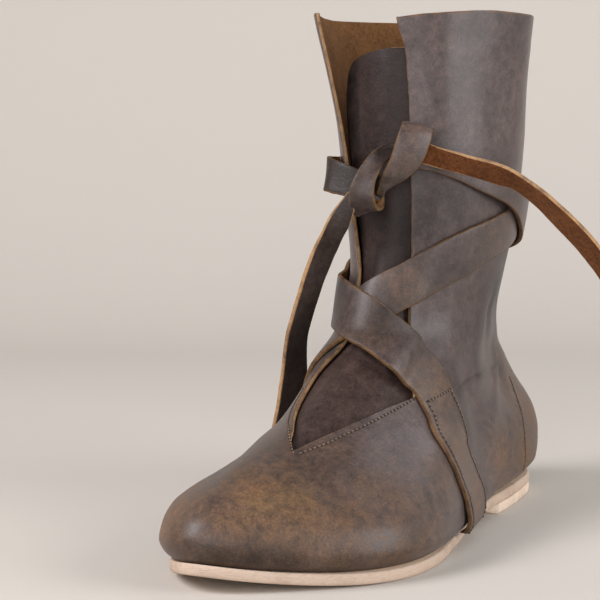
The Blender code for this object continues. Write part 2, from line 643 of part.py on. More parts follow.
# Knot: both straps tied in front of the leg, then two free ends
KNOT_LEATHER = material("knot_leather", (0.100, 0.068, 0.052), 0.5)
joined("knot", [ribbon(KNOT_WRAP, STRAP_THICKNESS), ribbon(KNOT_STUB, STRAP_THICKNESS),
                ribbon(KNOT_FOLD, STRAP_THICKNESS)], KNOT_LEATHER)
END_LEATHER = material("end_leather", (0.19, 0.085, 0.040), 0.8)
solid("strap_end_outer", *ribbon(END_OUTER, STRAP_THICKNESS), END_LEATHER)
INNER_END_LEATHER = material("inner_end_leather", (0.090, 0.060, 0.048), 0.55)
solid("strap_end_inner", *ribbon(END_INNER, STRAP_THICKNESS), INNER_END_LEATHER)
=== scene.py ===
import math
import bpy
import bmesh
import numpy as np
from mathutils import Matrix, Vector


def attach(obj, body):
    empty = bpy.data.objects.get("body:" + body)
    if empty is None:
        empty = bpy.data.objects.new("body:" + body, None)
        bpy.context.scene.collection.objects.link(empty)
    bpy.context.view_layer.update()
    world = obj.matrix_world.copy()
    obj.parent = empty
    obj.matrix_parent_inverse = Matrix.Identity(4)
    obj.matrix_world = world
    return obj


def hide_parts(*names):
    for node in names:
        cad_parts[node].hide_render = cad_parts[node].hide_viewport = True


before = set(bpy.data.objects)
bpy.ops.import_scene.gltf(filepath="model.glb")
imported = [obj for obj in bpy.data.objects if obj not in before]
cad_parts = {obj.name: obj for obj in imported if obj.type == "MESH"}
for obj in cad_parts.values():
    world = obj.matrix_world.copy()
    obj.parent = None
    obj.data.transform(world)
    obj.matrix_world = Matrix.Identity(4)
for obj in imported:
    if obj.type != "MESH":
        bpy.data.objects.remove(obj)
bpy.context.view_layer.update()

# Camera: a long lens low on the outer toe side
# It looks along the boot from the front, slightly from above
CAMERA_PLACE = Vector((0.7364, 0.3349, 0.1815))
CAMERA_AIM = Vector((0.1360, 0.0327, 0.1100))
CAMERA_LENS = 120.0
SENSOR_WIDTH = 36.0
NEAREST_SEEN = 0.01
FARTHEST_SEEN = 50.0
camera_data = bpy.data.cameras.new("camera")
camera_data.lens = CAMERA_LENS
camera_data.sensor_width = SENSOR_WIDTH
camera_data.clip_start = NEAREST_SEEN
camera_data.clip_end = FARTHEST_SEEN
camera = bpy.data.objects.new("camera", camera_data)
bpy.context.scene.collection.objects.link(camera)
camera.location = CAMERA_PLACE
camera.rotation_mode = "QUATERNION"
camera.rotation_quaternion = (CAMERA_AIM - CAMERA_PLACE).to_track_quat("-Z", "Y")
bpy.context.scene.camera = camera

# Floor and light: a pale sheet swept up behind the boot
# Soft windows stand to the right, behind the camera and high on the left, with a faint one behind the boot
# An even cool room closes in around them
SWEEP_NEAR = 1.2
SWEEP_FAR = -0.55
SWEEP_RADIUS = 0.35
SWEEP_HEIGHT = 1.6
SWEEP_HALF_WIDTH = 3.0
SWEEP_BENDS = 16
FLOOR_COLOUR = (0.52, 0.475, 0.42, 1.0)
FLOOR_ROUGHNESS = 0.9
ROOM_COLOUR = (0.86, 0.92, 1.0, 1.0)
ROOM_STRENGTH = 0.17
# Columns: name, place to the right, nearer and above, size, power, colour
WINDOWS = (
    ("side_window", 1.25, 0.55, 0.50, 1.0, 20.0, (0.98, 0.98, 1.0)),
    ("front_window", -0.30, 1.60, 0.45, 0.9, 14.0, (0.94, 0.96, 1.0)),
    ("top_window", -0.92, 0.45, 0.82, 0.6, 18.0, (0.98, 0.96, 1.0)),
    ("back_window", 0.55, -0.65, 1.00, 0.7, 4.0, (0.88, 0.93, 1.0)),
)
bpy.context.scene.view_settings.view_transform = "Standard"
view_flat = CAMERA_PLACE - CAMERA_AIM
view_flat.z = 0.0
view_flat.normalize()
view_right = Vector((-view_flat.y, view_flat.x, 0.0))
sweep_line = [(SWEEP_NEAR, 0.0), (SWEEP_FAR, 0.0)]
for number in range(1, SWEEP_BENDS + 1):
    bend = 0.5 * math.pi * number / SWEEP_BENDS
    sweep_line.append((SWEEP_FAR - SWEEP_RADIUS * math.sin(bend), SWEEP_RADIUS * (1 - math.cos(bend))))
sweep_line.append((SWEEP_FAR - SWEEP_RADIUS, SWEEP_HEIGHT))
sweep_points = []
for reach, height in sweep_line:
    for side in (-SWEEP_HALF_WIDTH, SWEEP_HALF_WIDTH):
        spot = view_flat * reach + view_right * side
        sweep_points.append((spot.x, spot.y, height))
sweep_faces = [(2 * row, 2 * row + 1, 2 * row + 3, 2 * row + 2) for row in range(len(sweep_line) - 1)]
sweep_mesh = bpy.data.meshes.new("floor")
sweep_mesh.from_pydata(sweep_points, [], sweep_faces)
sweep_mesh.polygons.foreach_set("use_smooth", [True] * len(sweep_faces))
floor = bpy.data.objects.new("floor", sweep_mesh)
bpy.context.scene.collection.objects.link(floor)
floor_finish = bpy.data.materials.new("floor_finish")
floor_finish.use_nodes = True
floor_shader = floor_finish.node_tree.nodes["Principled BSDF"]
floor_shader.inputs["Base Color"].default_value = FLOOR_COLOUR
floor_shader.inputs["Roughness"].default_value = FLOOR_ROUGHNESS
sweep_mesh.materials.append(floor_finish)

world = bpy.data.worlds.new("room")
world.use_nodes = True
room_light = world.node_tree.nodes["Background"]
room_light.inputs["Color"].default_value = ROOM_COLOUR
room_light.inputs["Strength"].default_value = ROOM_STRENGTH
bpy.context.scene.world = world


def window(name, side, reach, height, size, power, colour):
    # Square soft light placed to the right of, nearer than and above the boot's middle, aimed at it
    lamp_data = bpy.data.lights.new(name, "AREA")
    lamp_data.shape = "SQUARE"
    lamp_data.size = size
    lamp_data.energy = power
    lamp_data.color = colour
    lamp = bpy.data.objects.new(name, lamp_data)
    bpy.context.scene.collection.objects.link(lamp)
    lamp.location = view_right * side + view_flat * reach + Vector((0.0, 0.0, height))
    lamp.rotation_mode = "QUATERNION"
    lamp.rotation_quaternion = (CAMERA_AIM - lamp.location).to_track_quat("-Z", "Y")


for row in WINDOWS:
    window(*row)

# Outsole: one layer of pale vegetable-tanned leather, 4.5 mm thick
# It is cut to the foot's outline, level under the ball, sprung at the toe and raised over the heel lift
MM = 0.001
CENTRE = np.array((122.0, 1.3, 0.0))
SOLE_LENGTH = 247.0
OUTSOLE_THICKNESS = 4.5
HEEL_LIFT = 4.5
HEEL_BREAST_X = 70.0
HEEL_RAMP_END_X = 128.0
SPRING_START_X = 178.0
TOE_SPRING = 7.0
SPRING_POWER = 3
LEVEL_START = 30.0
LEVEL_END = 120.0
CONTROL_COUNT = 14
STATIONS = (("tip", 0.93), ("toe", 0.82), ("ball", 0.68), ("waist", 0.44), ("heel", 0.17))
BACK_CORNER_SHARE = 0.035
FOOT_BACK_ROUND = 0.74
LEG_BACK_ROUND = 0.5
NUDGE_TURN = 0.002
NUDGE_HEIGHT = 0.4
LEVEL_COLUMNS = ("height", "tip_x", "tip_y", "tip_out", "tip_in", "toe_out", "toe_in", "ball_out", "ball_in",
                 "waist_out", "waist_in", "heel_out", "heel_in", "back_x")
SOLE_EDGE = np.array([
    (0.0, SOLE_LENGTH, -14.0, 14.0, -34.5, 39.5, -43.0, 47.0, -43.0, 36.5, -26.0, 32.5, -29.0, 0.0),
])
# Cut edge from the underside to the top. Columns: inset, height share
SOLE_PROFILE = ((1.4, 0.0), (0.5, 0.015), (0.12, 0.10), (0.0, 0.30),
                (0.03, 0.62), (0.15, 0.88), (0.5, 0.985), (1.3, 1.0))
SOLE_STATIONS = 150
SOLE_CELLS = 8
SOLE_END_TURN = 0.0015


def smoothstep(value, start, end):
    # Soft step from 0 to 1
    share = np.clip((value - start) / (end - start), 0.0, 1.0)
    return share * share * (3.0 - 2.0 * share)


def control_points(rows):
    # Fourteen plan points of each level, from the tip round the outer side, the back and the inner side
    level = dict(zip(LEVEL_COLUMNS, np.atleast_2d(rows).T))
    back_x = level["back_x"]
    length = level["tip_x"] - back_x
    outer = []
    inner = []
    for name, share in STATIONS:
        station = back_x + share * length
        outer.append(np.stack([station, level[name + "_out"]], 1))
        inner.append(np.stack([station, level[name + "_in"]], 1))
    corner = back_x + BACK_CORNER_SHARE * length
    middle = 0.5 * (level["heel_out"] + level["heel_in"])
    leg = smoothstep(level["height"], LEVEL_START, LEVEL_END)
    roundness = FOOT_BACK_ROUND * (1 - leg) + LEG_BACK_ROUND * leg
    outer.append(np.stack([corner, middle + (level["heel_out"] - middle) * roundness], 1))
    inner.append(np.stack([corner, middle + (level["heel_in"] - middle) * roundness], 1))
    tip = np.stack([level["tip_x"], level["tip_y"]], 1)
    back = np.stack([back_x, middle], 1)
    return np.stack([tip] + outer + [back] + inner[::-1], 1)


def through(before, start, end, after, share):
    # Smooth curve from start to end that also heeds the points before and after
    return 0.5 * (2 * start + (end - before) * share
                  + (2 * before - 5 * start + 4 * end - after) * share ** 2
                  + (3 * start - before - 3 * end + after) * share ** 3)


def around(ring, turn):
    # Smooth closed curve through the plan points; turn runs from 0 at the tip to 1
    place = (np.asarray(turn, float) % 1.0) * CONTROL_COUNT
    index = np.floor(place).astype(int)
    share = (place - index)[:, None]
    rows = np.arange(len(ring))
    near = [ring[rows, (index + shift) % CONTROL_COUNT] for shift in (-1, 0, 1, 2)]
    return through(*near, share)


def outline(ring, turns, inset):
    # Points of a plan outline, moved inward by inset along its own normal
    rings = np.repeat(ring, len(turns), 0)
    along = around(rings, turns + NUDGE_TURN) - around(rings, turns - NUDGE_TURN)
    inward = np.column_stack([-along[:, 1], along[:, 0]])
    inward /= np.linalg.norm(inward, axis=1)[:, None]
    return around(rings, turns) + inward * inset


def sole_rise(x):
    # Height of the sole's underside: heel lift, level forefoot, toe spring
    heel = HEEL_LIFT * (1.0 - smoothstep(x, HEEL_BREAST_X, HEEL_RAMP_END_X))
    reach = np.clip((x - SPRING_START_X) / (SOLE_LENGTH - SPRING_START_X), 0.0, None)
    return heel + TOE_SPRING * reach ** SPRING_POWER


def layer(ring, turns, profile, low, high):
    # Closed leather layer: a cut edge with the given profile round the outline, then top and bottom sheets
    count = len(turns)
    both = np.concatenate([turns, 1.0 - turns[::-1]])
    rings = []
    for inset, share in profile:
        plan = outline(ring, both, inset)
        height = low(plan[:, 0]) * (1 - share) + high(plan[:, 0]) * share
        rings.append(np.column_stack([plan, height]))
    points = [np.vstack(rings)]
    total = 2 * count
    faces = []
    for row in range(len(profile) - 1):
        for column in range(total):
            following = (column + 1) % total
            faces.append((row * total + column, row * total + following,
                          (row + 1) * total + following, (row + 1) * total + column))
    zones = [0] * len(faces)
    start = len(profile) * total
    for row, flip in ((0, True), (len(profile) - 1, False)):
        edge = rings[row]
        numbers = np.zeros((count, SOLE_CELLS + 1), int)
        numbers[:, 0] = row * total + np.arange(count)
        numbers[:, -1] = row * total + total - 1 - np.arange(count)
        shares = np.linspace(0.0, 1.0, SOLE_CELLS + 1)[None, 1:-1, None]
        outer = edge[:count, None, :2]
        inner = edge[::-1][:count, None, :2]
        plan = outer * (1 - shares) + inner * shares
        height = low(plan[..., 0]) if flip else high(plan[..., 0])
        points.append(np.concatenate([plan, height[..., None]], 2).reshape(-1, 3))
        numbers[:, 1:-1] = start + np.arange(count * (SOLE_CELLS - 1)).reshape(count, -1)
        start += count * (SOLE_CELLS - 1)
        for station in range(count - 1):
            for cell in range(SOLE_CELLS):
                face = (numbers[station, cell], numbers[station, cell + 1],
                        numbers[station + 1, cell + 1], numbers[station + 1, cell])
                faces.append(tuple(int(n) for n in (face if flip else face[::-1])))
                zones.append(1)
    return np.vstack(points), faces, zones


def piece(name, points, faces, zones, finishes, node_name, values=()):
    # One shown piece in the row frame that stands for a solid of the boot
    mesh = bpy.data.meshes.new(name)
    mesh.from_pydata(((np.asarray(points, float) - CENTRE) * MM).tolist(), [], faces)
    for finish in finishes:
        mesh.materials.append(finish)
    mesh.polygons.foreach_set("material_index", zones)
    mesh.polygons.foreach_set("use_smooth", [True] * len(faces))
    for label, data in dict(values).items():
        attribute = mesh.attributes.new(label, "FLOAT", "POINT")
        attribute.data.foreach_set("value", np.asarray(data, np.float32).ravel())
    body = bmesh.new()
    body.from_mesh(mesh)
    bmesh.ops.recalc_face_normals(body, faces=body.faces[:])
    body.to_mesh(mesh)
    body.free()
    thing = bpy.data.objects.new(name, mesh)
    bpy.context.scene.collection.objects.link(thing)
    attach(thing, "root")
    if node_name:
        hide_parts(node_name)
    return thing


def node(tree, kind, values=(), **settings):
    # One shader node, with its settings and with numbers or sockets on its inputs
    made = tree.nodes.new(kind)
    for name, value in settings.items():
        setattr(made, name, value)
    for name, value in dict(values).items():
        if isinstance(value, bpy.types.NodeSocket):
            tree.links.new(value, made.inputs[name])
        else:
            made.inputs[name].default_value = value
    return made


def group(name, inputs, outputs):
    # Empty shader group with named inputs and outputs, and its two end nodes
    tree = bpy.data.node_groups.new(name, "ShaderNodeTree")
    for label, kind in inputs:
        tree.interface.new_socket(label, in_out="INPUT", socket_type=kind)
    for label, kind in outputs:
        tree.interface.new_socket(label, in_out="OUTPUT", socket_type=kind)
    return tree, tree.nodes.new("NodeGroupInput"), tree.nodes.new("NodeGroupOutput")


# Sockets of a colour mix: share, both colours, and the result
MIX_SHARE = 0
MIX_FIRST = 6
MIX_SECOND = 7
MIX_RESULT = 2


def blend(tree, share, first, second, way="MIX"):
    # Colour between two others, or their product
    mixed = node(tree, "ShaderNodeMix", {MIX_SHARE: share, MIX_FIRST: first, MIX_SECOND: second},
                 data_type="RGBA", blend_type=way)
    return mixed.outputs[MIX_RESULT]


def reckon(tree, operation, first, second, clamped=False):
    # One sum, difference or product
    result = node(tree, "ShaderNodeMath", {0: first, 1: second}, operation=operation, use_clamp=clamped)
    return result.outputs["Value"]


def noise(tree, place, scale, detail=3.0, roughness=0.55, distortion=0.0):
    # Soft random values about one half
    return node(tree, "ShaderNodeTexNoise", {"Vector": place, "Scale": scale, "Detail": detail,
                "Roughness": roughness, "Distortion": distortion}).outputs["Fac"]


def stretch(tree, value, low, high, to_low=0.0, to_high=1.0):
    # Clamped change of range
    return node(tree, "ShaderNodeMapRange", {"Value": value, "From Min": low, "From Max": high,
                "To Min": to_low, "To Max": to_high}).outputs["Result"]


SHADER_SOCKETS = {"Colour": "Base Color", "Roughness": "Roughness", "Gloss": "Coat Weight"}


def finish_of(name, tree, values, height_mm, settings=()):
    # Material whose colour, roughness and fine relief come from one shader group
    made = bpy.data.materials.new(name)
    made.use_nodes = True
    nodes = made.node_tree
    shader = nodes.nodes["Principled BSDF"]
    look = node(nodes, "ShaderNodeGroup", node_tree=tree)
    for label, value in values.items():
        if isinstance(value, str):
            source = node(nodes, "ShaderNodeAttribute", attribute_name=value)
            nodes.links.new(source.outputs["Fac"], look.inputs[label])
        else:
            look.inputs[label].default_value = value
    for label, socket in SHADER_SOCKETS.items():
        if label in look.outputs:
            nodes.links.new(look.outputs[label], shader.inputs[socket])
    relief = node(nodes, "ShaderNodeBump",
                  {"Strength": 1.0, "Distance": height_mm * MM, "Height": look.outputs["Height"]})
    nodes.links.new(relief.outputs["Normal"], shader.inputs["Normal"])
    for label, value in dict(settings).items():
        shader.inputs[label].default_value = value
    return made


COLOUR = "NodeSocketColor"
VALUE = "NodeSocketFloat"
LOOK = (("Colour", COLOUR), ("Roughness", VALUE), ("Height", VALUE))

pale_look, look_in, look_out = group("pale_sole_leather", (("Pale", COLOUR), ("Shade", COLOUR)), LOOK)
place = node(pale_look, "ShaderNodeTexCoord").outputs["Object"]
blotch = noise(pale_look, place, scale=60.0, detail=4.0)
layered = node(pale_look, "ShaderNodeMapping", {"Vector": place, "Scale": (1.0, 1.0, 5.0)})
fibre = noise(pale_look, layered.outputs["Vector"], scale=420.0, detail=4.0, roughness=0.65)
tone = reckon(pale_look, "ADD", stretch(pale_look, blotch, 0.45, 0.7, 0.0, 0.55),
              stretch(pale_look, fibre, 0.5, 0.75, 0.0, 0.45), True)
pale_colour = blend(pale_look, tone, look_in.outputs["Pale"], look_in.outputs["Shade"])
pale_look.links.new(pale_colour, look_out.inputs["Colour"])
pale_look.links.new(stretch(pale_look, fibre, 0.3, 0.7, 0.62, 0.85), look_out.inputs["Roughness"])
pale_look.links.new(fibre, look_out.inputs["Height"])
SOLE_FINISH = finish_of("sole_edge_finish", pale_look,
                        {"Pale": (0.50, 0.375, 0.285, 1.0), "Shade": (0.33, 0.220, 0.145, 1.0)},
                        height_mm=0.35)
SOLE_FACE_FINISH = finish_of("sole_face_finish", pale_look,
                             {"Pale": (0.66, 0.48, 0.33, 1.0), "Shade": (0.44, 0.29, 0.18, 1.0)},
                             height_mm=0.25)
edge_ring = control_points(SOLE_EDGE)
sole_turns = np.linspace(SOLE_END_TURN, 0.5 - SOLE_END_TURN, SOLE_STATIONS)
sole_points, sole_faces, sole_zones = layer(edge_ring, sole_turns, SOLE_PROFILE, sole_rise,
                                            lambda x: sole_rise(x) + OUTSOLE_THICKNESS)
piece("outsole_shown", sole_points, sole_faces, sole_zones, (SOLE_FINISH, SOLE_FACE_FINISH),
      "outsole")

# Heel lift: one low layer of the same leather, pegged under the heel seat
# It has the outsole's outline and a straight breast
LIFT_STATIONS = 60
LIFT_GAP = 0.15
LIFT_SEARCH = 400
LIFT_PROFILE = ((1.4, 0.0), (0.4, 0.02), (0.1, 0.14), (0.0, 0.4), (0.02, 0.7), (0.2, 0.93), (0.7, 1.0))
fine_turns = np.linspace(0.0, 0.5, LIFT_SEARCH)
fine_x = around(np.repeat(edge_ring, len(fine_turns), 0), fine_turns)[:, 0]
breast_turn = float(np.interp(-HEEL_BREAST_X, -fine_x, fine_turns))
lift_turns = np.linspace(breast_turn, 0.5 - SOLE_END_TURN, LIFT_STATIONS)
lift_points, lift_faces, lift_zones = layer(edge_ring, lift_turns, LIFT_PROFILE, np.zeros_like,
                                            lambda x: np.full_like(x, HEEL_LIFT - LIFT_GAP))
LIFT_FINISH = finish_of("heel_lift_finish", pale_look,
                        {"Pale": (0.68, 0.54, 0.42, 1.0), "Shade": (0.46, 0.32, 0.22, 1.0)}, height_mm=0.35)
piece("heel_lift_shown", lift_points, lift_faces, lift_zones, (LIFT_FINISH, SOLE_FACE_FINISH),
      "heel_lift")

# Insole: plain brown leather, 2.5 mm thick, loose on the outsole
# It follows the upper's feather line inside the wall
WALL = 2.0
INSOLE_THICKNESS = 2.5
INSOLE_CLEARANCE = 0.5
SEAT_GAP = 0.3
INSOLE_STATIONS = 80
INSOLE_END_TURN = 0.008
INSOLE_PROFILE = ((0.4, 0.0), (0.0, 0.2), (0.0, 0.75), (0.4, 1.0))
# Upper's levels above the sole's top: tip position, then outer and inner widths at each station
LEVELS = np.array([
    (0.0, 244.5, -14.0, 13.0, -34.0, 36.0, -41.0, 44.0, -40.0, 34.0, -23.5, 29.5, -26.5, 2.0),
    (3.0, 247.0, -14.5, 15.5, -37.0, 39.2, -44.3, 47.5, -43.3, 39.5, -28.5, 32.5, -30.0, -1.0),
    (7.0, 248.0, -15.0, 16.5, -38.5, 41.5, -46.0, 49.5, -45.0, 40.5, -31.0, 35.0, -32.5, -3.0),
    (14.0, 245.5, -14.5, 16.5, -38.2, 41.0, -45.6, 49.5, -45.0, 39.5, -33.0, 35.5, -33.5, -4.0),
    (20.0, 240.0, -14.5, 17.0, -37.4, 39.0, -44.4, 47.5, -42.5, 37.5, -32.0, 35.2, -33.0, -4.0),
    (26.0, 231.5, -13.5, 17.5, -33.4, 36.0, -39.8, 44.5, -39.0, 35.5, -30.5, 34.0, -32.0, -3.0),
    (31.0, 221.5, -12.0, 17.5, -27.3, 33.0, -34.5, 41.0, -35.5, 34.0, -29.5, 32.0, -30.5, -2.0),
    (36.0, 210.5, -10.5, 17.0, -22.9, 29.0, -29.6, 37.5, -32.0, 32.5, -29.0, 29.0, -28.5, -0.5),
    (40.0, 197.5, -8.5, 16.0, -22.5, 26.0, -28.0, 34.0, -29.5, 31.0, -28.5, 26.3, -26.5, 1.5),
    (45.0, 184.0, -6.5, 14.5, -20.0, 23.5, -25.5, 31.0, -28.0, 29.7, -27.5, 23.7, -24.0, 4.5),
    (52.0, 172.0, -5.0, 13.0, -18.0, 21.5, -23.5, 28.5, -27.0, 29.0, -27.0, 21.5, -21.5, 9.0),
    (62.0, 156.0, -3.5, 11.5, -16.5, 19.5, -22.5, 26.5, -26.0, 27.5, -26.5, 19.5, -19.5, 14.0),
    (76.0, 133.5, 0.0, 11.5, -12.5, 18.5, -19.0, 25.5, -24.0, 28.0, -26.0, 20.0, -20.0, 17.5),
    (92.0, 126.0, 1.0, 14.0, -12.5, 21.5, -19.0, 28.0, -24.5, 30.5, -27.0, 23.0, -21.5, 19.5),
    (110.0, 121.0, 2.0, 17.5, -13.0, 26.0, -21.0, 32.0, -26.5, 34.0, -29.0, 26.5, -22.0, 20.0),
    (145.0, 120.5, 2.0, 20.5, -16.0, 30.5, -25.5, 36.5, -31.5, 39.0, -34.0, 30.5, -26.0, 17.5),
    (180.0, 122.0, 1.0, 21.5, -19.5, 32.5, -30.0, 39.0, -36.5, 42.0, -39.5, 32.0, -29.5, 15.5),
    (203.5, 124.0, 0.0, 22.5, -22.5, 34.0, -34.0, 41.0, -41.0, 44.0, -44.0, 33.0, -33.0, 14.0),
])

suede_look, look_in, look_out = group("flesh_side", (("Dark", COLOUR), ("Light", COLOUR)), LOOK)
place = node(suede_look, "ShaderNodeTexCoord").outputs["Object"]
cloud = noise(suede_look, place, scale=70.0, detail=4.0)
nap = noise(suede_look, place, scale=650.0, detail=5.0, roughness=0.75)
tone = reckon(suede_look, "ADD", stretch(suede_look, cloud, 0.35, 0.7, 0.0, 0.4),
              stretch(suede_look, nap, 0.38, 0.66, 0.0, 0.7), True)
nap_colour = blend(suede_look, tone, look_in.outputs["Dark"], look_in.outputs["Light"])
suede_look.links.new(nap_colour, look_out.inputs["Colour"])
suede_look.links.new(stretch(suede_look, nap, 0.3, 0.7, 0.8, 0.95), look_out.inputs["Roughness"])
suede_look.links.new(nap, look_out.inputs["Height"])
INSOLE_FINISH = finish_of("insole_finish", suede_look,
                          {"Dark": (0.20, 0.12, 0.07, 1.0), "Light": (0.34, 0.22, 0.13, 1.0)}, height_mm=0.2)
feather_ring = control_points(LEVELS[:1])
insole_turns = np.linspace(INSOLE_END_TURN, 0.5 - INSOLE_END_TURN, INSOLE_STATIONS)
seat = OUTSOLE_THICKNESS + SEAT_GAP
insole_inset = WALL + INSOLE_CLEARANCE
insole_profile = [(insole_inset + inset, share) for inset, share in INSOLE_PROFILE]
insole_points, insole_faces, insole_zones = layer(feather_ring, insole_turns, insole_profile,
                                                  lambda x: sole_rise(x) + seat,
                                                  lambda x: sole_rise(x) + seat + INSOLE_THICKNESS)
piece("insole_shown", insole_points, insole_faces, [0] * len(insole_zones), (INSOLE_FINISH,),
      "insole")

# Upper: vamp and one-piece quarter of oiled brown leather, 2 mm thick
# It is open down the front and along the V of the throat, with raw cut edges and the suede side inside
COLLAR_HEIGHT = 203.5
THROAT_HEIGHT = 40.5
FLARE = 4.0
FLARE_START = 140.0
FLARE_TURN = 0.08
SOLE_FLAT = 6.0
COLLAR_FLAT = 12.0
DIP_START = 185.0
# Dip of the collar below its height. Columns: turn, dip
COLLAR_DIP = np.array([
    (0.0, 3.2),
    (0.03, 3.0),
    (0.055, 1.8),
    (0.095, 1.0),
    (0.15, 0.25),
    (0.2, 0.0),
    (0.28, 0.9),
    (0.4, 1.5),
    (0.6, 2.4),
    (0.75, 2.5),
    (0.83, 1.5),
    (0.895, 0.5),
    (1.0, 3.2),
])
# Front opening. Columns: height, outer_turn, inner_turn
OPENING = np.array([
    (40.5, 0.023, 0.023),
    (42.0, 0.028, 0.013),
    (44.0, 0.037, 0.003),
    (46.5, 0.053, -0.009),
    (49.0, 0.075, -0.027),
    (51.5, 0.112, -0.042),
    (54.0, 0.163, -0.052),
    (57.0, 0.158, -0.058),
    (63.0, 0.138, -0.060),
    (71.0, 0.115, -0.052),
    (81.0, 0.092, -0.048),
    (95.0, 0.066, -0.050),
    (112.0, 0.050, -0.076),
    (135.0, 0.043, -0.097),
    (160.0, 0.039, -0.105),
    (183.0, 0.036, -0.105),
    (203.5, 0.026, -0.105),
])
# Rows of the wall. Columns: height where a run starts, step within it
WALL_RUNS = ((0.3, 0.9), (12.0, 1.2), (40.5, 0.75), (57.0, 1.5), (120.0, 2.0), (198.0, 0.8))
WALL_COLUMNS = 270
WALL_MARGIN = 0.005
# Unevenness of the hand-cut edges, as turns. Columns: size, rate, start
CUT_WOBBLE = 0.0003
WOBBLE_FADE = 4.0
OUTER_CUT_WAVES = ((1.0, 0.31, 0.0), (0.6, 0.83, 1.0))
INNER_CUT_WAVES = ((1.0, 0.27, 2.0), (0.6, 0.91, 0.0))
# Soft waves of the leg towards the collar
RIM_WAVE = 0.5
RIM_WAVE_COUNT = 5.0
RIM_WAVE_SHIFT = 0.6
RIM_WAVE_START = 150.0
# Rubbed borders: strength everywhere, more of it beside the throat, and how far it reaches in
EDGE_WEAR = 0.4
THROAT_WEAR = 0.5
THROAT_WEAR_FADE = (56.0, 64.0)
EDGE_WEAR_REACH = 0.7
COLLAR_WEAR_REACH = 0.6
THROAT_WEAR_DROP = 1.0
CREASE_END = 0.35
CREASE_ROUND = 0.04
# Rounding of the cut edge. Columns: share of the run round the wall, depth below the face
EDGE_ROUNDING = ((0.0, 0.42), (0.0006, 0.16), (0.0016, 0.03), (0.003, 0.0))
COLLAR_ROUNDING = ((0.0, 0.42), (0.25, 0.14), (0.7, 0.0))
# Soft creases and swells. Columns: turn and height of both ends, half width, depth (swells are positive)
CREASES = (
    (0.352, 62.0, 0.322, 42.0, 3.0, 1.3),
    (0.322, 42.0, 0.310, 28.0, 3.5, 0.7),
    (0.366, 56.0, 0.338, 36.0, 5.0, -1.7),
    (0.250, 62.0, 0.276, 44.0, 8.0, -1.6),
    (0.262, 84.0, 0.282, 62.0, 7.0, 0.9),
    (0.292, 86.0, 0.305, 64.0, 6.0, -1.3),
    (0.276, 44.0, 0.298, 24.0, 8.0, -1.0),
    (0.036, 38.5, 0.064, 32.5, 5.0, -1.0),
    (0.064, 32.5, 0.094, 25.0, 6.0, -1.1),
    (0.015, 33.0, 0.040, 29.0, 6.0, 0.8),
    (0.110, 30.0, 0.160, 21.0, 9.0, -0.8),
    (0.070, 36.0, 0.120, 27.0, 6.0, -0.9),
    (0.400, 70.0, 0.300, 78.0, 5.0, -1.0),
    (0.420, 60.0, 0.350, 66.0, 4.0, -0.9),
    (-0.300, 62.0, -0.400, 72.0, 5.0, -1.2),
    (-0.330, 50.0, -0.420, 60.0, 4.0, -0.9),
    (-0.350, 58.0, -0.320, 36.0, 4.0, 1.0),
    (0.180, 190.0, 0.230, 150.0, 14.0, -1.2),
    (0.095, 195.0, 0.085, 150.0, 10.0, 0.9),
    (0.330, 150.0, 0.320, 190.0, 12.0, -1.0),
    (-0.200, 190.0, -0.230, 150.0, 14.0, -1.4),
    (0.420, 190.0, 0.440, 140.0, 12.0, 1.0),
)
# Dark soft marks: dark marks low beside the sole, and painted shade in hollows, under the knot and over the
# vamp's top. Columns: turn, height, radius, strength
STAINS_AND_SHADE = (
    # Dark marks low on the toe beside the sole
    (0.022, 3.0, 9.0, 0.55),
    (0.045, 4.0, 9.0, 0.60),
    (0.068, 3.0, 10.0, 0.55),
    (-0.020, 4.0, 10.0, 0.35),
    (0.110, 2.0, 10.0, 0.40),
    (0.160, 2.0, 10.0, 0.35),
    # Painted shade round the ankle, where the shaft turns away from the light
    (0.296, 84.0, 17.0, 0.60),
    (0.350, 60.0, 12.0, 0.45),
    (0.310, 100.0, 17.0, 0.45),
    (0.340, 78.0, 15.0, 0.45),
    # Dark mark low on the outer side
    (0.171, 13.8, 10.0, 0.40),
    # Painted shade over the top of the vamp
    (0.085, 29.0, 26.0, 0.26),
    (0.045, 35.0, 20.0, 0.28),
    (-0.050, 34.0, 22.0, 0.25),
    # Broad, faintly darker place low on the heel
    (0.350, 16.0, 26.0, 0.18),
    # Painted shade in the hollow behind the strap's sewn band
    (0.245, 52.0, 9.0, 0.45),
    (0.262, 38.0, 9.0, 0.40),
    (0.270, 22.0, 9.0, 0.35),
    # Painted shade on the shaft below the knot
    (0.080, 118.0, 12.0, 0.35),
    (0.130, 128.0, 14.0, 0.35),
    (0.190, 132.0, 12.0, 0.30),
    # Painted shade in the crease below the throat
    (0.075, 36.5, 9.0, 0.25),
)
# Dark line where the upper meets the sole
JOINT_STAIN = 0.55
JOINT_REACH = 1.6
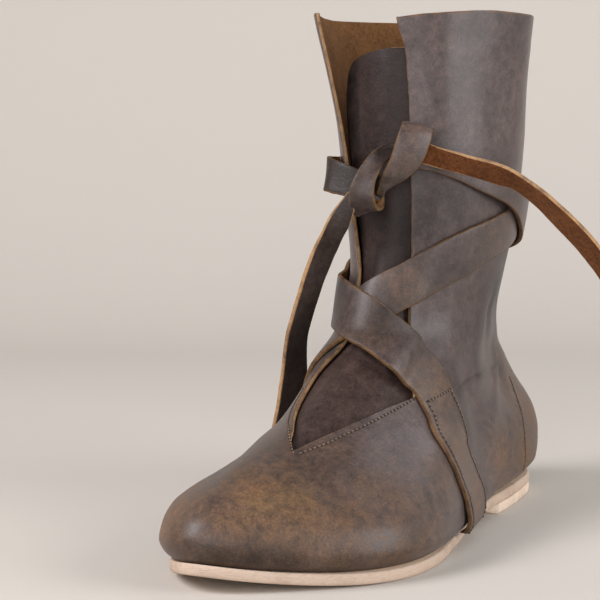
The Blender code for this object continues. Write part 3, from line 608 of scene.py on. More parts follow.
# Rubbed, lighter places. Columns: turn, height, radius, strength
RUBS = (
    (0.030, 27.0, 38.0, 0.66),
    (-0.060, 20.0, 40.0, 0.62),
    (0.140, 14.0, 34.0, 0.52),
    (-0.024, 20.0, 12.0, 0.55),
    (0.034, 30.0, 13.0, 0.66),
    (0.008, 28.0, 14.0, 0.62),
    (0.061, 27.0, 14.0, 0.60),
    (-0.010, 24.0, 14.0, 0.62),
    (-0.045, 19.0, 13.0, 0.66),
    (-0.075, 22.0, 14.0, 0.62),
    (0.105, 19.5, 14.0, 0.55),
    (0.139, 23.0, 16.0, 0.50),
    (0.155, 11.2, 16.0, 0.60),
    (0.208, 26.8, 12.0, 0.40),
    (0.028, 36.5, 8.0, 0.60),
    (0.059, 40.0, 8.0, 0.40),
    (-0.040, 26.0, 16.0, 0.65),
    (-0.110, 18.0, 18.0, 0.55),
    (-0.170, 24.0, 14.0, 0.40),
    (0.400, 22.0, 34.0, 0.60),
    (0.350, 10.0, 18.0, 0.75),
    (0.325, 10.0, 16.0, 0.75),
    (0.330, 12.0, 14.0, 0.45),
    (0.460, 18.0, 16.0, 0.55),
    (-0.400, 16.0, 30.0, 0.50),
    (0.349, 58.0, 6.0, 0.35),
)


def monotone(keys, values, query):
    # Shape-keeping cubic through table rows, one column or many
    keys = np.asarray(keys, float)
    values = np.asarray(values, float)
    flat = values.ndim == 1
    values = values.reshape(len(keys), -1)
    step = np.diff(keys)[:, None]
    slope = np.diff(values, axis=0) / step
    tangent = np.zeros_like(values)
    tangent[0] = slope[0]
    tangent[-1] = slope[-1]
    for row in range(1, len(keys) - 1):
        before = slope[row - 1]
        after = slope[row]
        same = before * after > 0
        weight_a = 2 * step[row] + step[row - 1]
        weight_b = step[row] + 2 * step[row - 1]
        mean = weight_a / np.where(same, before, 1.0) + weight_b / np.where(same, after, 1.0)
        tangent[row] = np.where(same, (weight_a + weight_b) / mean, 0.0)
    query = np.atleast_1d(np.asarray(query, float))
    index = np.clip(np.searchsorted(keys, query, side="right") - 1, 0, len(keys) - 2)
    width = (keys[index + 1] - keys[index])[:, None]
    share = np.clip(((query - keys[index])[:, None]) / width, 0.0, 1.0)
    first = (1 + 2 * share) * (1 - share) ** 2
    first_slope = share * (1 - share) ** 2
    second = share ** 2 * (3 - 2 * share)
    second_slope = share ** 2 * (share - 1)
    result = (first * values[index] + first_slope * width * tangent[index]
              + second * values[index + 1] + second_slope * width * tangent[index + 1])
    return result[:, 0] if flat else result


def surface_base(turn, height):
    # Point of the upper's outer face, before its creases
    plan = around(control_points(monotone(LEVELS[:, 0], LEVELS, height)), turn)
    level = smoothstep(height, LEVEL_START, LEVEL_END)
    rise = sole_rise(plan[:, 0]) * (1 - level) + HEEL_LIFT * level
    dip = np.interp(np.asarray(turn, float) % 1.0, *COLLAR_DIP.T)
    rise = rise - dip * smoothstep(height, DIP_START, COLLAR_HEIGHT)
    return np.column_stack([plan, height + OUTSOLE_THICKNESS + rise])


def surface_normal(turn, height):
    # Outward direction of that face, level beside the sole and the collar
    low = np.clip(height - NUDGE_HEIGHT, 0.0, COLLAR_HEIGHT)
    high = np.clip(height + NUDGE_HEIGHT, 0.0, COLLAR_HEIGHT)
    along = surface_base(turn + NUDGE_TURN, height) - surface_base(turn - NUDGE_TURN, height)
    upward = surface_base(turn, high) - surface_base(turn, low)
    normal = np.cross(along, upward)
    at_collar = smoothstep(height, COLLAR_HEIGHT - COLLAR_FLAT, COLLAR_HEIGHT)
    normal[:, 2] *= smoothstep(height, 0.0, SOLE_FLAT) * (1 - at_collar)
    return normal / np.linalg.norm(normal, axis=1)[:, None]


def surface(turn, height, lift=0.0):
    # Point of the upper's outer face, moved out by lift
    turn, height, lift = np.broadcast_arrays(*(np.asarray(value, float) for value in (turn, height, lift)))
    spot = (turn.ravel(), height.ravel())
    point = surface_base(*spot) + surface_normal(*spot) * lift.ravel()[:, None]
    return point.reshape(turn.shape + (3,))


def ragged_edge(travel, waves, phase=1.0):
    # Small waviness of a hand-cut edge
    return sum(size * np.sin(travel * rate + start * phase) for size, rate, start in waves)


def crease_lift(points):
    # Height of the soft creases at points on the upper's face
    shape = points.shape[:-1]
    flat = points.reshape(-1, 3)
    lift = np.zeros(len(flat))
    for turn_a, height_a, turn_b, height_b, half_width, depth in CREASES:
        start, end = surface(np.array((turn_a, turn_b)), np.array((height_a, height_b)))
        along = end - start
        share = np.clip((flat - start) @ along / (along @ along), 0.0, 1.0)
        gap = np.linalg.norm(flat - start - share[:, None] * along, axis=1)
        middle = np.sin(math.pi * np.clip(share, CREASE_ROUND, 1 - CREASE_ROUND))
        fade = CREASE_END + (1 - CREASE_END) * middle
        lift += depth * fade * np.exp(-(gap / half_width) ** 2)
    return lift.reshape(shape)


def spots(points, table):
    # Strength of soft round marks at points on the upper's face
    total = np.zeros(points.shape[:-1])
    for turn, height, radius, strength in table:
        gap = np.linalg.norm(points - surface(turn, height), axis=-1)
        total = np.maximum(total, strength * np.exp(-(gap / radius) ** 2))
    return total


def shell_faces(rows, columns, numbers=None):
    # Faces of an outer sheet, a matching inner sheet and the walls between them
    # Zones are 0 outside, 1 inside and 2 on the cut edge
    if numbers is None:
        numbers = np.arange(rows * columns).reshape(rows, columns)
    count = rows * columns
    faces = []
    for row in range(rows - 1):
        for column in range(columns - 1):
            loop = []
            for corner in (numbers[row, column], numbers[row, column + 1],
                           numbers[row + 1, column + 1], numbers[row + 1, column]):
                if int(corner) not in loop:
                    loop.append(int(corner))
            if len(loop) >= 3:
                faces.append(loop)
    edges = {}
    for loop in faces:
        for first, second in zip(loop, loop[1:] + loop[:1]):
            edges[(first, second)] = True
    walls = [[b, a, a + count, b + count] for a, b in edges if (b, a) not in edges]
    inside = [[spot + count for spot in loop[::-1]] for loop in faces]
    zones = [0] * len(faces) + [1] * len(inside) + [2] * len(walls)
    return faces + inside + walls, zones


OLIVE_SHIFT = (0.93, 1.02, 1.02, 1.0)
leather_look, look_in, look_out = group(
    "oiled_leather", (("Dark", COLOUR), ("Light", COLOUR), ("Tan", COLOUR), ("Rub", VALUE), ("Edge", VALUE),
                      ("Stain_and_shade", VALUE), ("Shine", VALUE)), LOOK + (("Gloss", VALUE),))
place = node(leather_look, "ShaderNodeTexCoord").outputs["Object"]
cloud = noise(leather_look, place, scale=34.0, detail=5.0, roughness=0.6, distortion=0.4)
patch = noise(leather_look, place, scale=95.0, detail=4.0, roughness=0.6, distortion=0.3)
mottle = noise(leather_look, place, scale=260.0, detail=5.0, roughness=0.65)
fleck = noise(leather_look, place, scale=1100.0, detail=3.0, roughness=0.6)
slanted = node(leather_look, "ShaderNodeMapping",
               {"Vector": place, "Scale": (1.0, 1.0, 0.3), "Rotation": (0.3, 0.5, 0.2)})
streak = noise(leather_look, slanted.outputs["Vector"],
               scale=300.0, detail=4.0, roughness=0.7, distortion=0.6)
grain = node(leather_look, "ShaderNodeTexVoronoi", {"Vector": place, "Scale": 1250.0}, feature="F1")
pebble = grain.outputs["Distance"]
tone = reckon(leather_look, "ADD", stretch(leather_look, cloud, 0.34, 0.68, 0.0, 0.45),
              stretch(leather_look, patch, 0.36, 0.68, 0.0, 0.30))
tone = reckon(leather_look, "ADD", tone, stretch(leather_look, mottle, 0.36, 0.68, 0.0, 0.35), True)
base = blend(leather_look, tone, look_in.outputs["Dark"], look_in.outputs["Light"])
rub_cloud = reckon(leather_look, "ADD", reckon(leather_look, "MULTIPLY", cloud, 0.7),
                   reckon(leather_look, "MULTIPLY", mottle, 0.5))
rub_noise = stretch(leather_look, rub_cloud, 0.40, 0.78, 0.15, 1.25)
rub = reckon(leather_look, "MULTIPLY", look_in.outputs["Rub"], rub_noise, True)
scratch = stretch(leather_look, streak, 0.66, 0.76, 0.0, 0.28)
rub = reckon(leather_look, "ADD", rub, scratch, True)
edge_rub = reckon(leather_look, "MULTIPLY", look_in.outputs["Edge"], stretch(leather_look, mottle, 0.35, 0.6))
rub = reckon(leather_look, "ADD", rub, edge_rub, True)
moved = node(leather_look, "ShaderNodeMapping", {"Vector": place, "Location": (0.31, 0.17, 0.05)})
hue = stretch(leather_look, noise(leather_look, moved.outputs["Vector"], scale=48.0), 0.38, 0.62)
olive = blend(leather_look, 1.0, look_in.outputs["Tan"], OLIVE_SHIFT, "MULTIPLY")
worn = blend(leather_look, rub, base, blend(leather_look, hue, look_in.outputs["Tan"], olive))
# Stain_and_shade darkens the colour and takes away the coat's gloss; it carries real stains and painted shade
# alike
stain_and_shade = reckon(leather_look, "MULTIPLY", look_in.outputs["Stain_and_shade"],
               stretch(leather_look, patch, 0.35, 0.65, 0.85, 1.10), True)
fine = reckon(leather_look, "ADD", stretch(leather_look, fleck, 0.3, 0.7, 0.70, 1.24),
              stretch(leather_look, mottle, 0.3, 0.7, -0.20, 0.20))
unstained_and_unshaded = reckon(leather_look, "SUBTRACT", 1.0, stain_and_shade)
speck = reckon(leather_look, "MULTIPLY", fine, unstained_and_unshaded)
grey = node(leather_look, "ShaderNodeCombineColor", {"Red": speck, "Green": speck, "Blue": speck})
final = blend(leather_look, 1.0, worn, grey.outputs["Color"], "MULTIPLY")
leather_look.links.new(final, look_out.inputs["Colour"])
dullness = reckon(leather_look, "ADD", stretch(leather_look, mottle, 0.3, 0.7, 0.40, 0.56),
                  reckon(leather_look, "MULTIPLY", rub, 0.16))
leather_look.links.new(dullness, look_out.inputs["Roughness"])
oiled = stretch(leather_look, rub, 0.0, 0.70, 1.0, 0.15)
gloss = reckon(leather_look, "MULTIPLY", look_in.outputs["Shine"], oiled)
gloss = reckon(leather_look, "MULTIPLY", gloss, unstained_and_unshaded)
leather_look.links.new(gloss, look_out.inputs["Gloss"])
relief = reckon(leather_look, "ADD", reckon(leather_look, "MULTIPLY", pebble, 0.30),
                reckon(leather_look, "ADD", reckon(leather_look, "MULTIPLY", fleck, 0.35),
                       reckon(leather_look, "MULTIPLY", mottle, 0.18)))
leather_look.links.new(relief, look_out.inputs["Height"])

raw_look, look_in, look_out = group("raw_cut_edge", (("Tan", COLOUR), ("Brown", COLOUR)), LOOK)
place = node(raw_look, "ShaderNodeTexCoord").outputs["Object"]
coarse = noise(raw_look, place, scale=160.0, detail=4.0, roughness=0.6)
fibre = noise(raw_look, place, scale=1000.0, detail=4.0, roughness=0.7)
tone = reckon(raw_look, "ADD", stretch(raw_look, coarse, 0.4, 0.7, 0.0, 0.75),
              stretch(raw_look, fibre, 0.45, 0.7, 0.0, 0.4), True)
raw_colour = blend(raw_look, tone, look_in.outputs["Tan"], look_in.outputs["Brown"])
raw_look.links.new(raw_colour, look_out.inputs["Colour"])
raw_look.links.new(stretch(raw_look, fibre, 0.3, 0.7, 0.7, 0.9), look_out.inputs["Roughness"])
raw_look.links.new(fibre, look_out.inputs["Height"])

OILED_SHEEN = {
    "Specular IOR Level": 0.2,
    "Coat Roughness": 0.46,
    "Sheen Weight": 0.03,
    "Sheen Roughness": 0.45,
    "Sheen Tint": (0.82, 0.88, 1.0, 1.0),
}
UPPER_FINISH = finish_of("upper_grain", leather_look, {
    "Dark": (0.030, 0.019, 0.017, 1.0),
    "Light": (0.092, 0.061, 0.053, 1.0),
    "Tan": (0.182, 0.089, 0.033, 1.0),
    "Rub": "rub", "Edge": "edge", "Stain_and_shade": "stain_and_shade", "Shine": 0.7}, height_mm=0.22, settings=OILED_SHEEN)
FLESH_FINISH = finish_of("upper_flesh", suede_look,
                         {"Dark": (0.090, 0.040, 0.015, 1.0), "Light": (0.200, 0.094, 0.036, 1.0)},
                         height_mm=0.3, settings={"Specular IOR Level": 0.1})
RAW_FINISH = finish_of("raw_edge", raw_look,
                       {"Tan": (0.36, 0.205, 0.090, 1.0), "Brown": (0.13, 0.065, 0.030, 1.0)}, height_mm=0.3)

wall_heights = []
for number, (start, step) in enumerate(WALL_RUNS):
    end = WALL_RUNS[number + 1][0] if number + 1 < len(WALL_RUNS) else COLLAR_HEIGHT
    count = max(1, int(round((end - start) / step)))
    wall_heights.extend(np.linspace(start, end, count, endpoint=False))
wall_heights.extend(COLLAR_HEIGHT - drop for drop, depth in COLLAR_ROUNDING[::-1])
wall_heights = np.array(wall_heights)
rounding_shares = [share for share, depth in EDGE_ROUNDING]
wall_shares = np.concatenate([rounding_shares, np.linspace(WALL_MARGIN, 1.0 - WALL_MARGIN, WALL_COLUMNS),
                              1.0 - np.array(rounding_shares[::-1])])
edge_height, edge_outer, edge_inner = OPENING.T
raised = np.maximum(wall_heights, THROAT_HEIGHT)
wobble = CUT_WOBBLE * smoothstep(wall_heights, THROAT_HEIGHT, THROAT_HEIGHT + WOBBLE_FADE)
outer_turn = monotone(edge_height, edge_outer, raised) + wobble * ragged_edge(wall_heights, OUTER_CUT_WAVES)
inner_turn = monotone(edge_height, edge_inner, raised) + wobble * ragged_edge(wall_heights, INNER_CUT_WAVES)
wall_turn = outer_turn[:, None] + (1.0 + inner_turn - outer_turn)[:, None] * wall_shares[None, :]
wall_height = np.repeat(wall_heights[:, None], len(wall_shares), 1)
from_inner = 1.0 + inner_turn[:, None] - wall_turn
flare = FLARE * smoothstep(wall_height, FLARE_START, COLLAR_HEIGHT)
flare = flare * (1 - smoothstep(from_inner, 0.0, FLARE_TURN))
wall_base = surface(wall_turn, wall_height)
creased = crease_lift(wall_base)
rim_wave = RIM_WAVE * np.sin(wall_turn * 2 * math.pi * RIM_WAVE_COUNT + RIM_WAVE_SHIFT)
rim_wave = rim_wave * smoothstep(wall_height, RIM_WAVE_START, COLLAR_HEIGHT)
edge_gap = np.minimum(wall_shares, 1.0 - wall_shares)[None, :]
edge_drop = np.interp(edge_gap, rounding_shares, [depth for share, depth in EDGE_ROUNDING])
edge_drop = edge_drop * (wall_height > THROAT_HEIGHT)
collar_drop = np.interp(COLLAR_HEIGHT - wall_height, [drop for drop, depth in COLLAR_ROUNDING],
                        [depth for drop, depth in COLLAR_ROUNDING])
drop = np.maximum(edge_drop, collar_drop)
shape_lift = flare + creased + rim_wave
outer_sheet = surface(wall_turn, wall_height, shape_lift - drop)
inner_sheet = surface(wall_turn, wall_height, shape_lift - WALL + drop)
wall_numbers = np.arange(wall_turn.size).reshape(wall_turn.shape)
closed = wall_heights <= THROAT_HEIGHT
wall_numbers[closed, -1] = wall_numbers[closed, 0]
upper_faces, upper_zones = shell_faces(*wall_turn.shape, wall_numbers)
wall_rub = spots(wall_base, RUBS)
# The marks add stains and painted shade; a dark line runs where the upper meets the sole
wall_stain_and_shade = np.maximum(spots(wall_base, STAINS_AND_SHADE), JOINT_STAIN * np.exp(-(wall_height / JOINT_REACH) ** 2))
edge_reach = np.linalg.norm(wall_base - wall_base[:, :1], axis=-1)
edge_reach = np.minimum(edge_reach, np.linalg.norm(wall_base - wall_base[:, -1:], axis=-1))
edge_strength = EDGE_WEAR + THROAT_WEAR * (1 - smoothstep(wall_height, *THROAT_WEAR_FADE))
edge_worn = edge_strength * np.exp(-(edge_reach / EDGE_WEAR_REACH) ** 2)
edge_worn = edge_worn * (wall_height > THROAT_HEIGHT - THROAT_WEAR_DROP)
edge_worn = np.maximum(edge_worn, np.exp(-((COLLAR_HEIGHT - wall_height) / COLLAR_WEAR_REACH) ** 2))
wall_marks = {"rub": wall_rub, "edge": edge_worn, "stain_and_shade": wall_stain_and_shade}
both = {label: np.concatenate([marks.ravel()] * 2) for label, marks in wall_marks.items()}
upper_points = np.vstack([outer_sheet.reshape(-1, 3), inner_sheet.reshape(-1, 3)])
piece("upper_shown", upper_points, upper_faces, upper_zones, (UPPER_FINISH, FLESH_FINISH, RAW_FINISH),
      "upper", both)

# Tongue: tall piece of dark oiled leather behind the throat and the leg opening
# It is 1.8 mm thick, sewn to the vamp below the throat, with a rounded top
TONGUE_GAP = 0.45
TONGUE_THICKNESS = 1.8
TONGUE_CELLS = 48
TONGUE_ROWS = 150
TONGUE_TOP_ROWS = 24
TONGUE_TOP_START = 178.0
TONGUE_TOP_STEP = 0.5
# Painted shade on the tongue: its inner side under the flap, the rest of the leg part inside the opening, and
# where they begin
TONGUE_SHADE = 0.88
TONGUE_SHADE_TURNS = (-0.075, -0.030)
TONGUE_LEG_SHADE = 0.45
TONGUE_SHADE_FADE = (66.0, 100.0)
# Columns: height, outer_turn, inner_turn, extra_depth below the upper
TONGUE = np.array([
    (34.0, 0.070, -0.030, 0.0),
    (40.0, 0.100, -0.055, 0.3),
    (46.0, 0.150, -0.080, 0.2),
    (51.0, 0.200, -0.095, 0.0),
    (57.0, 0.215, -0.105, 0.2),
    (64.0, 0.190, -0.110, 0.4),
    (74.0, 0.160, -0.112, 0.5),
    (88.0, 0.130, -0.114, 0.5),
    (104.0, 0.115, -0.116, 0.5),
    (122.0, 0.110, -0.120, 0.6),
    (142.0, 0.110, -0.124, 0.9),
    (158.0, 0.110, -0.124, 1.4),
    (167.0, 0.110, -0.119, 2.0),
    (174.0, 0.108, -0.106, 2.8),
    (180.0, 0.104, -0.084, 3.6),
    (184.0, 0.096, -0.056, 4.3),
    (186.6, 0.080, -0.022, 4.9),
    (188.0, 0.055, 0.012, 5.2),
])
TONGUE_FINISH = finish_of("tongue_grain", leather_look, {
    "Dark": (0.023, 0.0135, 0.0115, 1.0),
    "Light": (0.049, 0.030, 0.026, 1.0),
    "Tan": (0.110, 0.062, 0.040, 1.0),
    "Rub": 0.12, "Edge": 0.0, "Stain_and_shade": "stain_and_shade", "Shine": 0.25},
    height_mm=0.22, settings={"Specular IOR Level": 0.12, "Coat Roughness": 0.5})
tongue_heights = np.concatenate([
    np.linspace(TONGUE[0, 0], TONGUE_TOP_START, TONGUE_ROWS),
    np.linspace(TONGUE_TOP_START + TONGUE_TOP_STEP, TONGUE[-1, 0], TONGUE_TOP_ROWS),
])
tongue_rows = monotone(TONGUE[:, 0], TONGUE, tongue_heights)
tongue_height, tongue_outer, tongue_inner, tongue_depth = (column[:, None] for column in tongue_rows.T)
tongue_shares = np.linspace(0.0, 1.0, TONGUE_CELLS + 1)[None, :]
tongue_turn = tongue_outer * (1 - tongue_shares) + tongue_inner * tongue_shares
tongue_sunk = WALL + TONGUE_GAP + tongue_depth
tongue_face = surface(tongue_turn, tongue_height, -tongue_sunk)
tongue_back = surface(tongue_turn, tongue_height, -(tongue_sunk + TONGUE_THICKNESS))
tongue_faces, tongue_zones = shell_faces(*tongue_turn.shape)
tongue_points = np.vstack([tongue_face.reshape(-1, 3), tongue_back.reshape(-1, 3)])
# Painted shade, nearly black on the inner side and lighter over the rest of the leg part
tongue_side_shade = TONGUE_SHADE * (1 - smoothstep(tongue_turn, *TONGUE_SHADE_TURNS))
tongue_painted_shade = np.maximum(tongue_side_shade, TONGUE_LEG_SHADE) * smoothstep(tongue_height, *TONGUE_SHADE_FADE)
piece("tongue_shown", tongue_points, tongue_faces, tongue_zones, (TONGUE_FINISH, FLESH_FINISH, RAW_FINISH),
      "tongue", {"stain_and_shade": np.concatenate([tongue_painted_shade.ravel()] * 2)})

# Straps: two long strips of the same leather, each sewn down the quarter's front edge
# Each then crosses the instep and wraps the leg, with raw tan edges
STRAP_THICKNESS = 1.9
SNUG = 0.25
HUG = 0.6
BULGE = 1.2
CROSSING = 3.0
STRAP_STEP = 1.6
STRAP_CELLS = 12
STRIDES = 24
STRIDE_MARGIN = 1.1
LAST_STRIDE = 1e-6
STRAP_LOWEST = 0.5
STRAP_SINK = 0.25
EASE_PASSES = 24
FINE_ROWS = 600
# Rounded side of a strip, from its grain face to its flesh face. Columns: inset, level share
STRIP_SIDE = ((0.55, 1.0), (0.16, 0.93), (0.0, 0.74), (0.0, 0.28), (0.14, 0.07), (0.5, 0.0))
CROWN = 0.10
# Unevenness of a hand-cut strip. Columns: size, rate, share of the strip's own phase
STRAP_WAVES = ((0.10, 0.19, 1.0), (0.05, 0.47, 2.0))
STRAP_WEAR = 0.35
STRAP_WEAR_REACH = 0.5
# Run of each strap. Columns: turn, height, width, lift above the upper
STRAP_OUTER = np.array([
    (0.272, 2.0, 27.0, BULGE),
    (0.270, 9.5, 28.5, BULGE),
    (0.267, 17.0, 29.5, HUG),
    (0.256, 25.3, 29.5, SNUG),
    (0.243, 33.2, 29.0, SNUG),
    (0.232, 40.2, 27.5, SNUG),
    (0.219, 46.0, 25.4, SNUG),
    (0.206, 51.8, 23.0, SNUG),
    (0.184, 58.4, 21.6, SNUG),
    (0.147, 64.5, 22.9, SNUG),
    (0.106, 67.2, 24.6, CROSSING),
    (0.067, 70.8, 24.4, CROSSING),
    (0.007, 78.2, 22.8, CROSSING),
    (-0.068, 84.6, 21.0, CROSSING),
    (-0.140, 87.0, 19.0, CROSSING),
    (-0.200, 90.0, 18.0, SNUG),
    (-0.350, 97.0, 18.0, SNUG),
    (-0.430, 101.2, 18.0, HUG),
    (-0.500, 105.0, 18.0, HUG),
    (-0.560, 109.0, 18.0, CROSSING),
    (-0.620, 113.7, 18.0, CROSSING),
    (-0.680, 120.0, 16.0, CROSSING),
    (-0.741, 130.5, 14.0, CROSSING),
    (-0.839, 138.0, 10.5, SNUG),
    (-0.930, 144.0, 10.0, SNUG),
    (-0.966, 146.0, 10.0, SNUG),
])
STRAP_INNER = np.array([
    (-0.262, 2.0, 24.0, HUG),
    (-0.260, 8.0, 24.0, HUG),
    (-0.255, 15.0, 24.0, SNUG),
    (-0.248, 23.2, 24.0, SNUG),
    (-0.243, 31.0, 23.5, SNUG),
    (-0.235, 38.2, 23.0, SNUG),
    (-0.225, 44.2, 22.5, SNUG),
    (-0.209, 50.5, 22.0, SNUG),
    (-0.183, 57.5, 21.5, SNUG),
    (-0.140, 65.6, 21.0, SNUG),
    (-0.085, 74.5, 20.0, HUG),
    (-0.020, 84.0, 19.0, SNUG),
    (0.050, 93.0, 17.0, SNUG),
    (0.154, 103.6, 19.0, SNUG),
    (0.237, 110.0, 18.0, SNUG),
    (0.290, 114.0, 18.0, SNUG),
    (0.400, 121.5, 18.0, SNUG),
    (0.440, 124.3, 18.0, HUG),
    (0.500, 128.0, 18.0, HUG),
    (0.560, 131.2, 18.0, HUG),
    (0.620, 133.0, 17.0, SNUG),
    (0.750, 135.0, 16.0, SNUG),
    (0.840, 135.5, 16.0, SNUG),
    (0.880, 136.0, 16.0, SNUG),
])

# Rubbed places on the straps, then painted shade on them where they cross the instep and face away from the
# light. Columns: turn, height, radius, strength
STRAP_RUBS = (
    (0.190, 56.0, 14.0, 0.50),
    (0.240, 35.0, 16.0, 0.42),
    (0.268, 14.0, 16.0, 0.40),
    (0.020, 76.0, 14.0, 0.22),
    (0.060, 94.0, 12.0, 0.30),
    (0.250, 111.0, 16.0, 0.20),
    (-0.200, 52.0, 18.0, 0.30),
    (-0.350, 97.0, 20.0, 0.25),
    (0.500, 128.0, 24.0, 0.25),
)
STRAP_SHADES = (
    (0.037, 80.0, 14.0, 0.55),
    (0.080, 73.0, 10.0, 0.30),
    (0.120, 100.0, 12.0, 0.25),
    (-0.030, 84.0, 12.0, 0.25),
)


def at_marks(line, travel, marks):
    # Values of a line's columns at distances along it
    return np.column_stack([np.interp(marks, travel, column) for column in line.T])


def even_rows(table, place, step):
    # Smooth run through table rows, with points about one step apart
    padded = np.vstack([2 * table[0] - table[1], table, 2 * table[-1] - table[-2]])
    query = np.linspace(0.0, len(table) - 1.0, FINE_ROWS)
    index = np.clip(np.floor(query).astype(int), 0, len(table) - 2)
    share = (query - index)[:, None]
    near = [padded[index + shift] for shift in range(4)]
    fine = through(*near, share)
    gaps = np.linalg.norm(np.diff(place(fine), axis=0), axis=1)
    travel = np.concatenate([[0.0], np.cumsum(gaps)])
    marks = np.linspace(0.0, travel[-1], int(round(travel[-1] / step)) + 1)
    return at_marks(fine, travel, marks)


def strip_profile(cells):
    # Closed cross-section of a strip
    # Columns: side of the middle, inset from that edge, level share, zone of the next face
    shares = np.linspace(-1.0, 1.0, cells + 1)
    rows = [(share, STRIP_SIDE[0][0], 1.0 + CROWN * (1 - share * share), 0) for share in shares]
    rows += [(1.0, inset, level, 2) for inset, level in STRIP_SIDE[1:-1]]
    rows += [(share, STRIP_SIDE[-1][0], 0.0, 1) for share in shares[::-1]]
    rows += [(-1.0, inset, level, 2) for inset, level in STRIP_SIDE[1:-1][::-1]]
    return np.array(rows)


def strip_faces(rows, profile):
    # Faces of a closed strip with capped ends
    count = len(profile)
    faces = []
    zones = []
    for row in range(rows - 1):
        for column in range(count):
            following = (column + 1) % count
            faces.append((row * count + column, row * count + following,
                          (row + 1) * count + following, (row + 1) * count + column))
            zones.append(int(profile[column, 3]))
    faces.append(tuple(range(count)))
    faces.append(tuple(range((rows - 1) * count, rows * count)))
    return faces, zones + [2, 2]


def eased(rows):
    # Rows with sharp bends softened and the two ends kept
    soft = rows.copy()
    for _ in range(EASE_PASSES):
        soft[1:-1] = (soft[:-2] + 2.0 * soft[1:-1] + soft[2:]) / 4.0
    return soft


def strap_walk(run, reach):
    # Turn and height at signed distances sideways from the run, walked over the upper's face
    turn, height, width = run[:, 0], run[:, 1], run[:, 2]
    points = surface(turn, height)
    along = eased(np.gradient(points, axis=0))
    along /= np.linalg.norm(along, axis=1)[:, None]
    stride = STRIDE_MARGIN * width / 2.0 / STRIDES
    trails = {}
    for side in (-1.0, 1.0):
        spot_turn = turn.copy()
        spot_height = height.copy()
        trail = [(spot_turn, spot_height)]
        for _ in range(STRIDES):
            sideways = side * np.cross(surface_normal(spot_turn, spot_height), along)
            ahead = surface(spot_turn + NUDGE_TURN, spot_height)
            behind = surface(spot_turn - NUDGE_TURN, spot_height)
            by_turn = (ahead - behind) / (2 * NUDGE_TURN)
            low = np.clip(spot_height - NUDGE_HEIGHT, 0.0, COLLAR_HEIGHT)
            high = np.clip(spot_height + NUDGE_HEIGHT, 0.0, COLLAR_HEIGHT)
            by_height = (surface(spot_turn, high) - surface(spot_turn, low)) / (high - low)[:, None]
            turn_size = (by_turn * by_turn).sum(1)
            height_size = (by_height * by_height).sum(1)
            slant = (by_turn * by_height).sum(1)
            turn_pull = (by_turn * sideways).sum(1)
            height_pull = (by_height * sideways).sum(1)
            scale = turn_size * height_size - slant * slant
            turn_step = (turn_pull * height_size - height_pull * slant) / scale * stride
            height_step = (height_pull * turn_size - turn_pull * slant) / scale * stride
            spot_turn = spot_turn + turn_step
            spot_height = np.clip(spot_height + height_step, STRAP_LOWEST, COLLAR_HEIGHT)
            trail.append((spot_turn, spot_height))
        trails[side] = np.array(trail)
    place = np.clip(np.abs(reach) / stride[:, None], 0.0, STRIDES - LAST_STRIDE)
    index = place.astype(int)
    share = place - index
    rows = np.arange(len(run))[:, None]
    result = []
    for column in (0, 1):
        right = trails[1.0][index, column, rows] * (1 - share) + trails[1.0][index + 1, column, rows] * share
        left = trails[-1.0][index, column, rows] * (1 - share) + trails[-1.0][index + 1, column, rows] * share
        result.append(np.where(reach >= 0, right, left))
    return result


def strap_lift(points):
    # A strap rides over swells and only sinks a little into hollows
    lift = crease_lift(points)
    return np.maximum(lift, STRAP_SINK * lift)


def strap(name, table, finishes, node_name, phase):
    # Strip laid over the upper's own face along one table
    run = even_rows(table, lambda rows: surface(rows[:, 0], rows[:, 1]), STRAP_STEP)
    run[:, :2] = eased(run[:, :2])
    profile = strip_profile(STRAP_CELLS)
    half = run[:, 2:3] / 2.0
    travel = np.arange(len(run))[:, None] * STRAP_STEP
    ragged = ragged_edge(travel, STRAP_WAVES, phase)
    side, inset, level, _ = profile.T[:, None, :]
    reach = side * (half + ragged * np.sign(side) - inset)
    turn, height = strap_walk(run, reach)
    lift = run[:, 3:4] + STRAP_THICKNESS * level
    spread = surface(turn, height)
    points = surface(turn, height, lift + strap_lift(spread))
    faces, zones = strip_faces(len(run), profile)
    gap = half - np.abs(reach)
    worn = STRAP_WEAR * np.exp(-(gap / STRAP_WEAR_REACH) ** 2)
    piece(name, points.reshape(-1, 3), faces, zones, finishes, node_name,
          {"edge": worn, "rub": spots(spread, STRAP_RUBS), "stain_and_shade": spots(spread, STRAP_SHADES)})
    return run


STRAP_FINISH = finish_of("strap_grain", leather_look, {
    "Dark": (0.032, 0.021, 0.018, 1.0),
    "Light": (0.080, 0.052, 0.045, 1.0),
    "Tan": (0.180, 0.096, 0.046, 1.0),
    "Rub": "rub", "Edge": "edge", "Stain_and_shade": "stain_and_shade", "Shine": 0.7}, height_mm=0.25, settings=OILED_SHEEN)
STRAP_RAW_FINISH = finish_of("strap_raw_edge", raw_look,
                             {"Tan": (0.150, 0.080, 0.035, 1.0), "Brown": (0.042, 0.022, 0.012, 1.0)},
                             height_mm=0.3, settings={"Specular IOR Level": 0.2})
STRAP_FINISHES = (STRAP_FINISH, FLESH_FINISH, STRAP_RAW_FINISH)
outer_run = strap("strap_outer_shown", STRAP_OUTER, STRAP_FINISHES, "strap_outer", phase=0.0)
inner_run = strap("strap_inner_shown", STRAP_INNER, STRAP_FINISHES, "strap_inner", phase=1.3)

# Seams: waxed thread with pricked holes, about 2 mm a stitch
# One row follows the V of the throat, a box sews down each strap and one row holds the heel counter
STITCH_PITCH = 2.15
STITCH_LENGTH = 1.45
STITCH_RADIUS = 0.26
STITCH_BOW = 0.18
STITCH_SIDES = 6
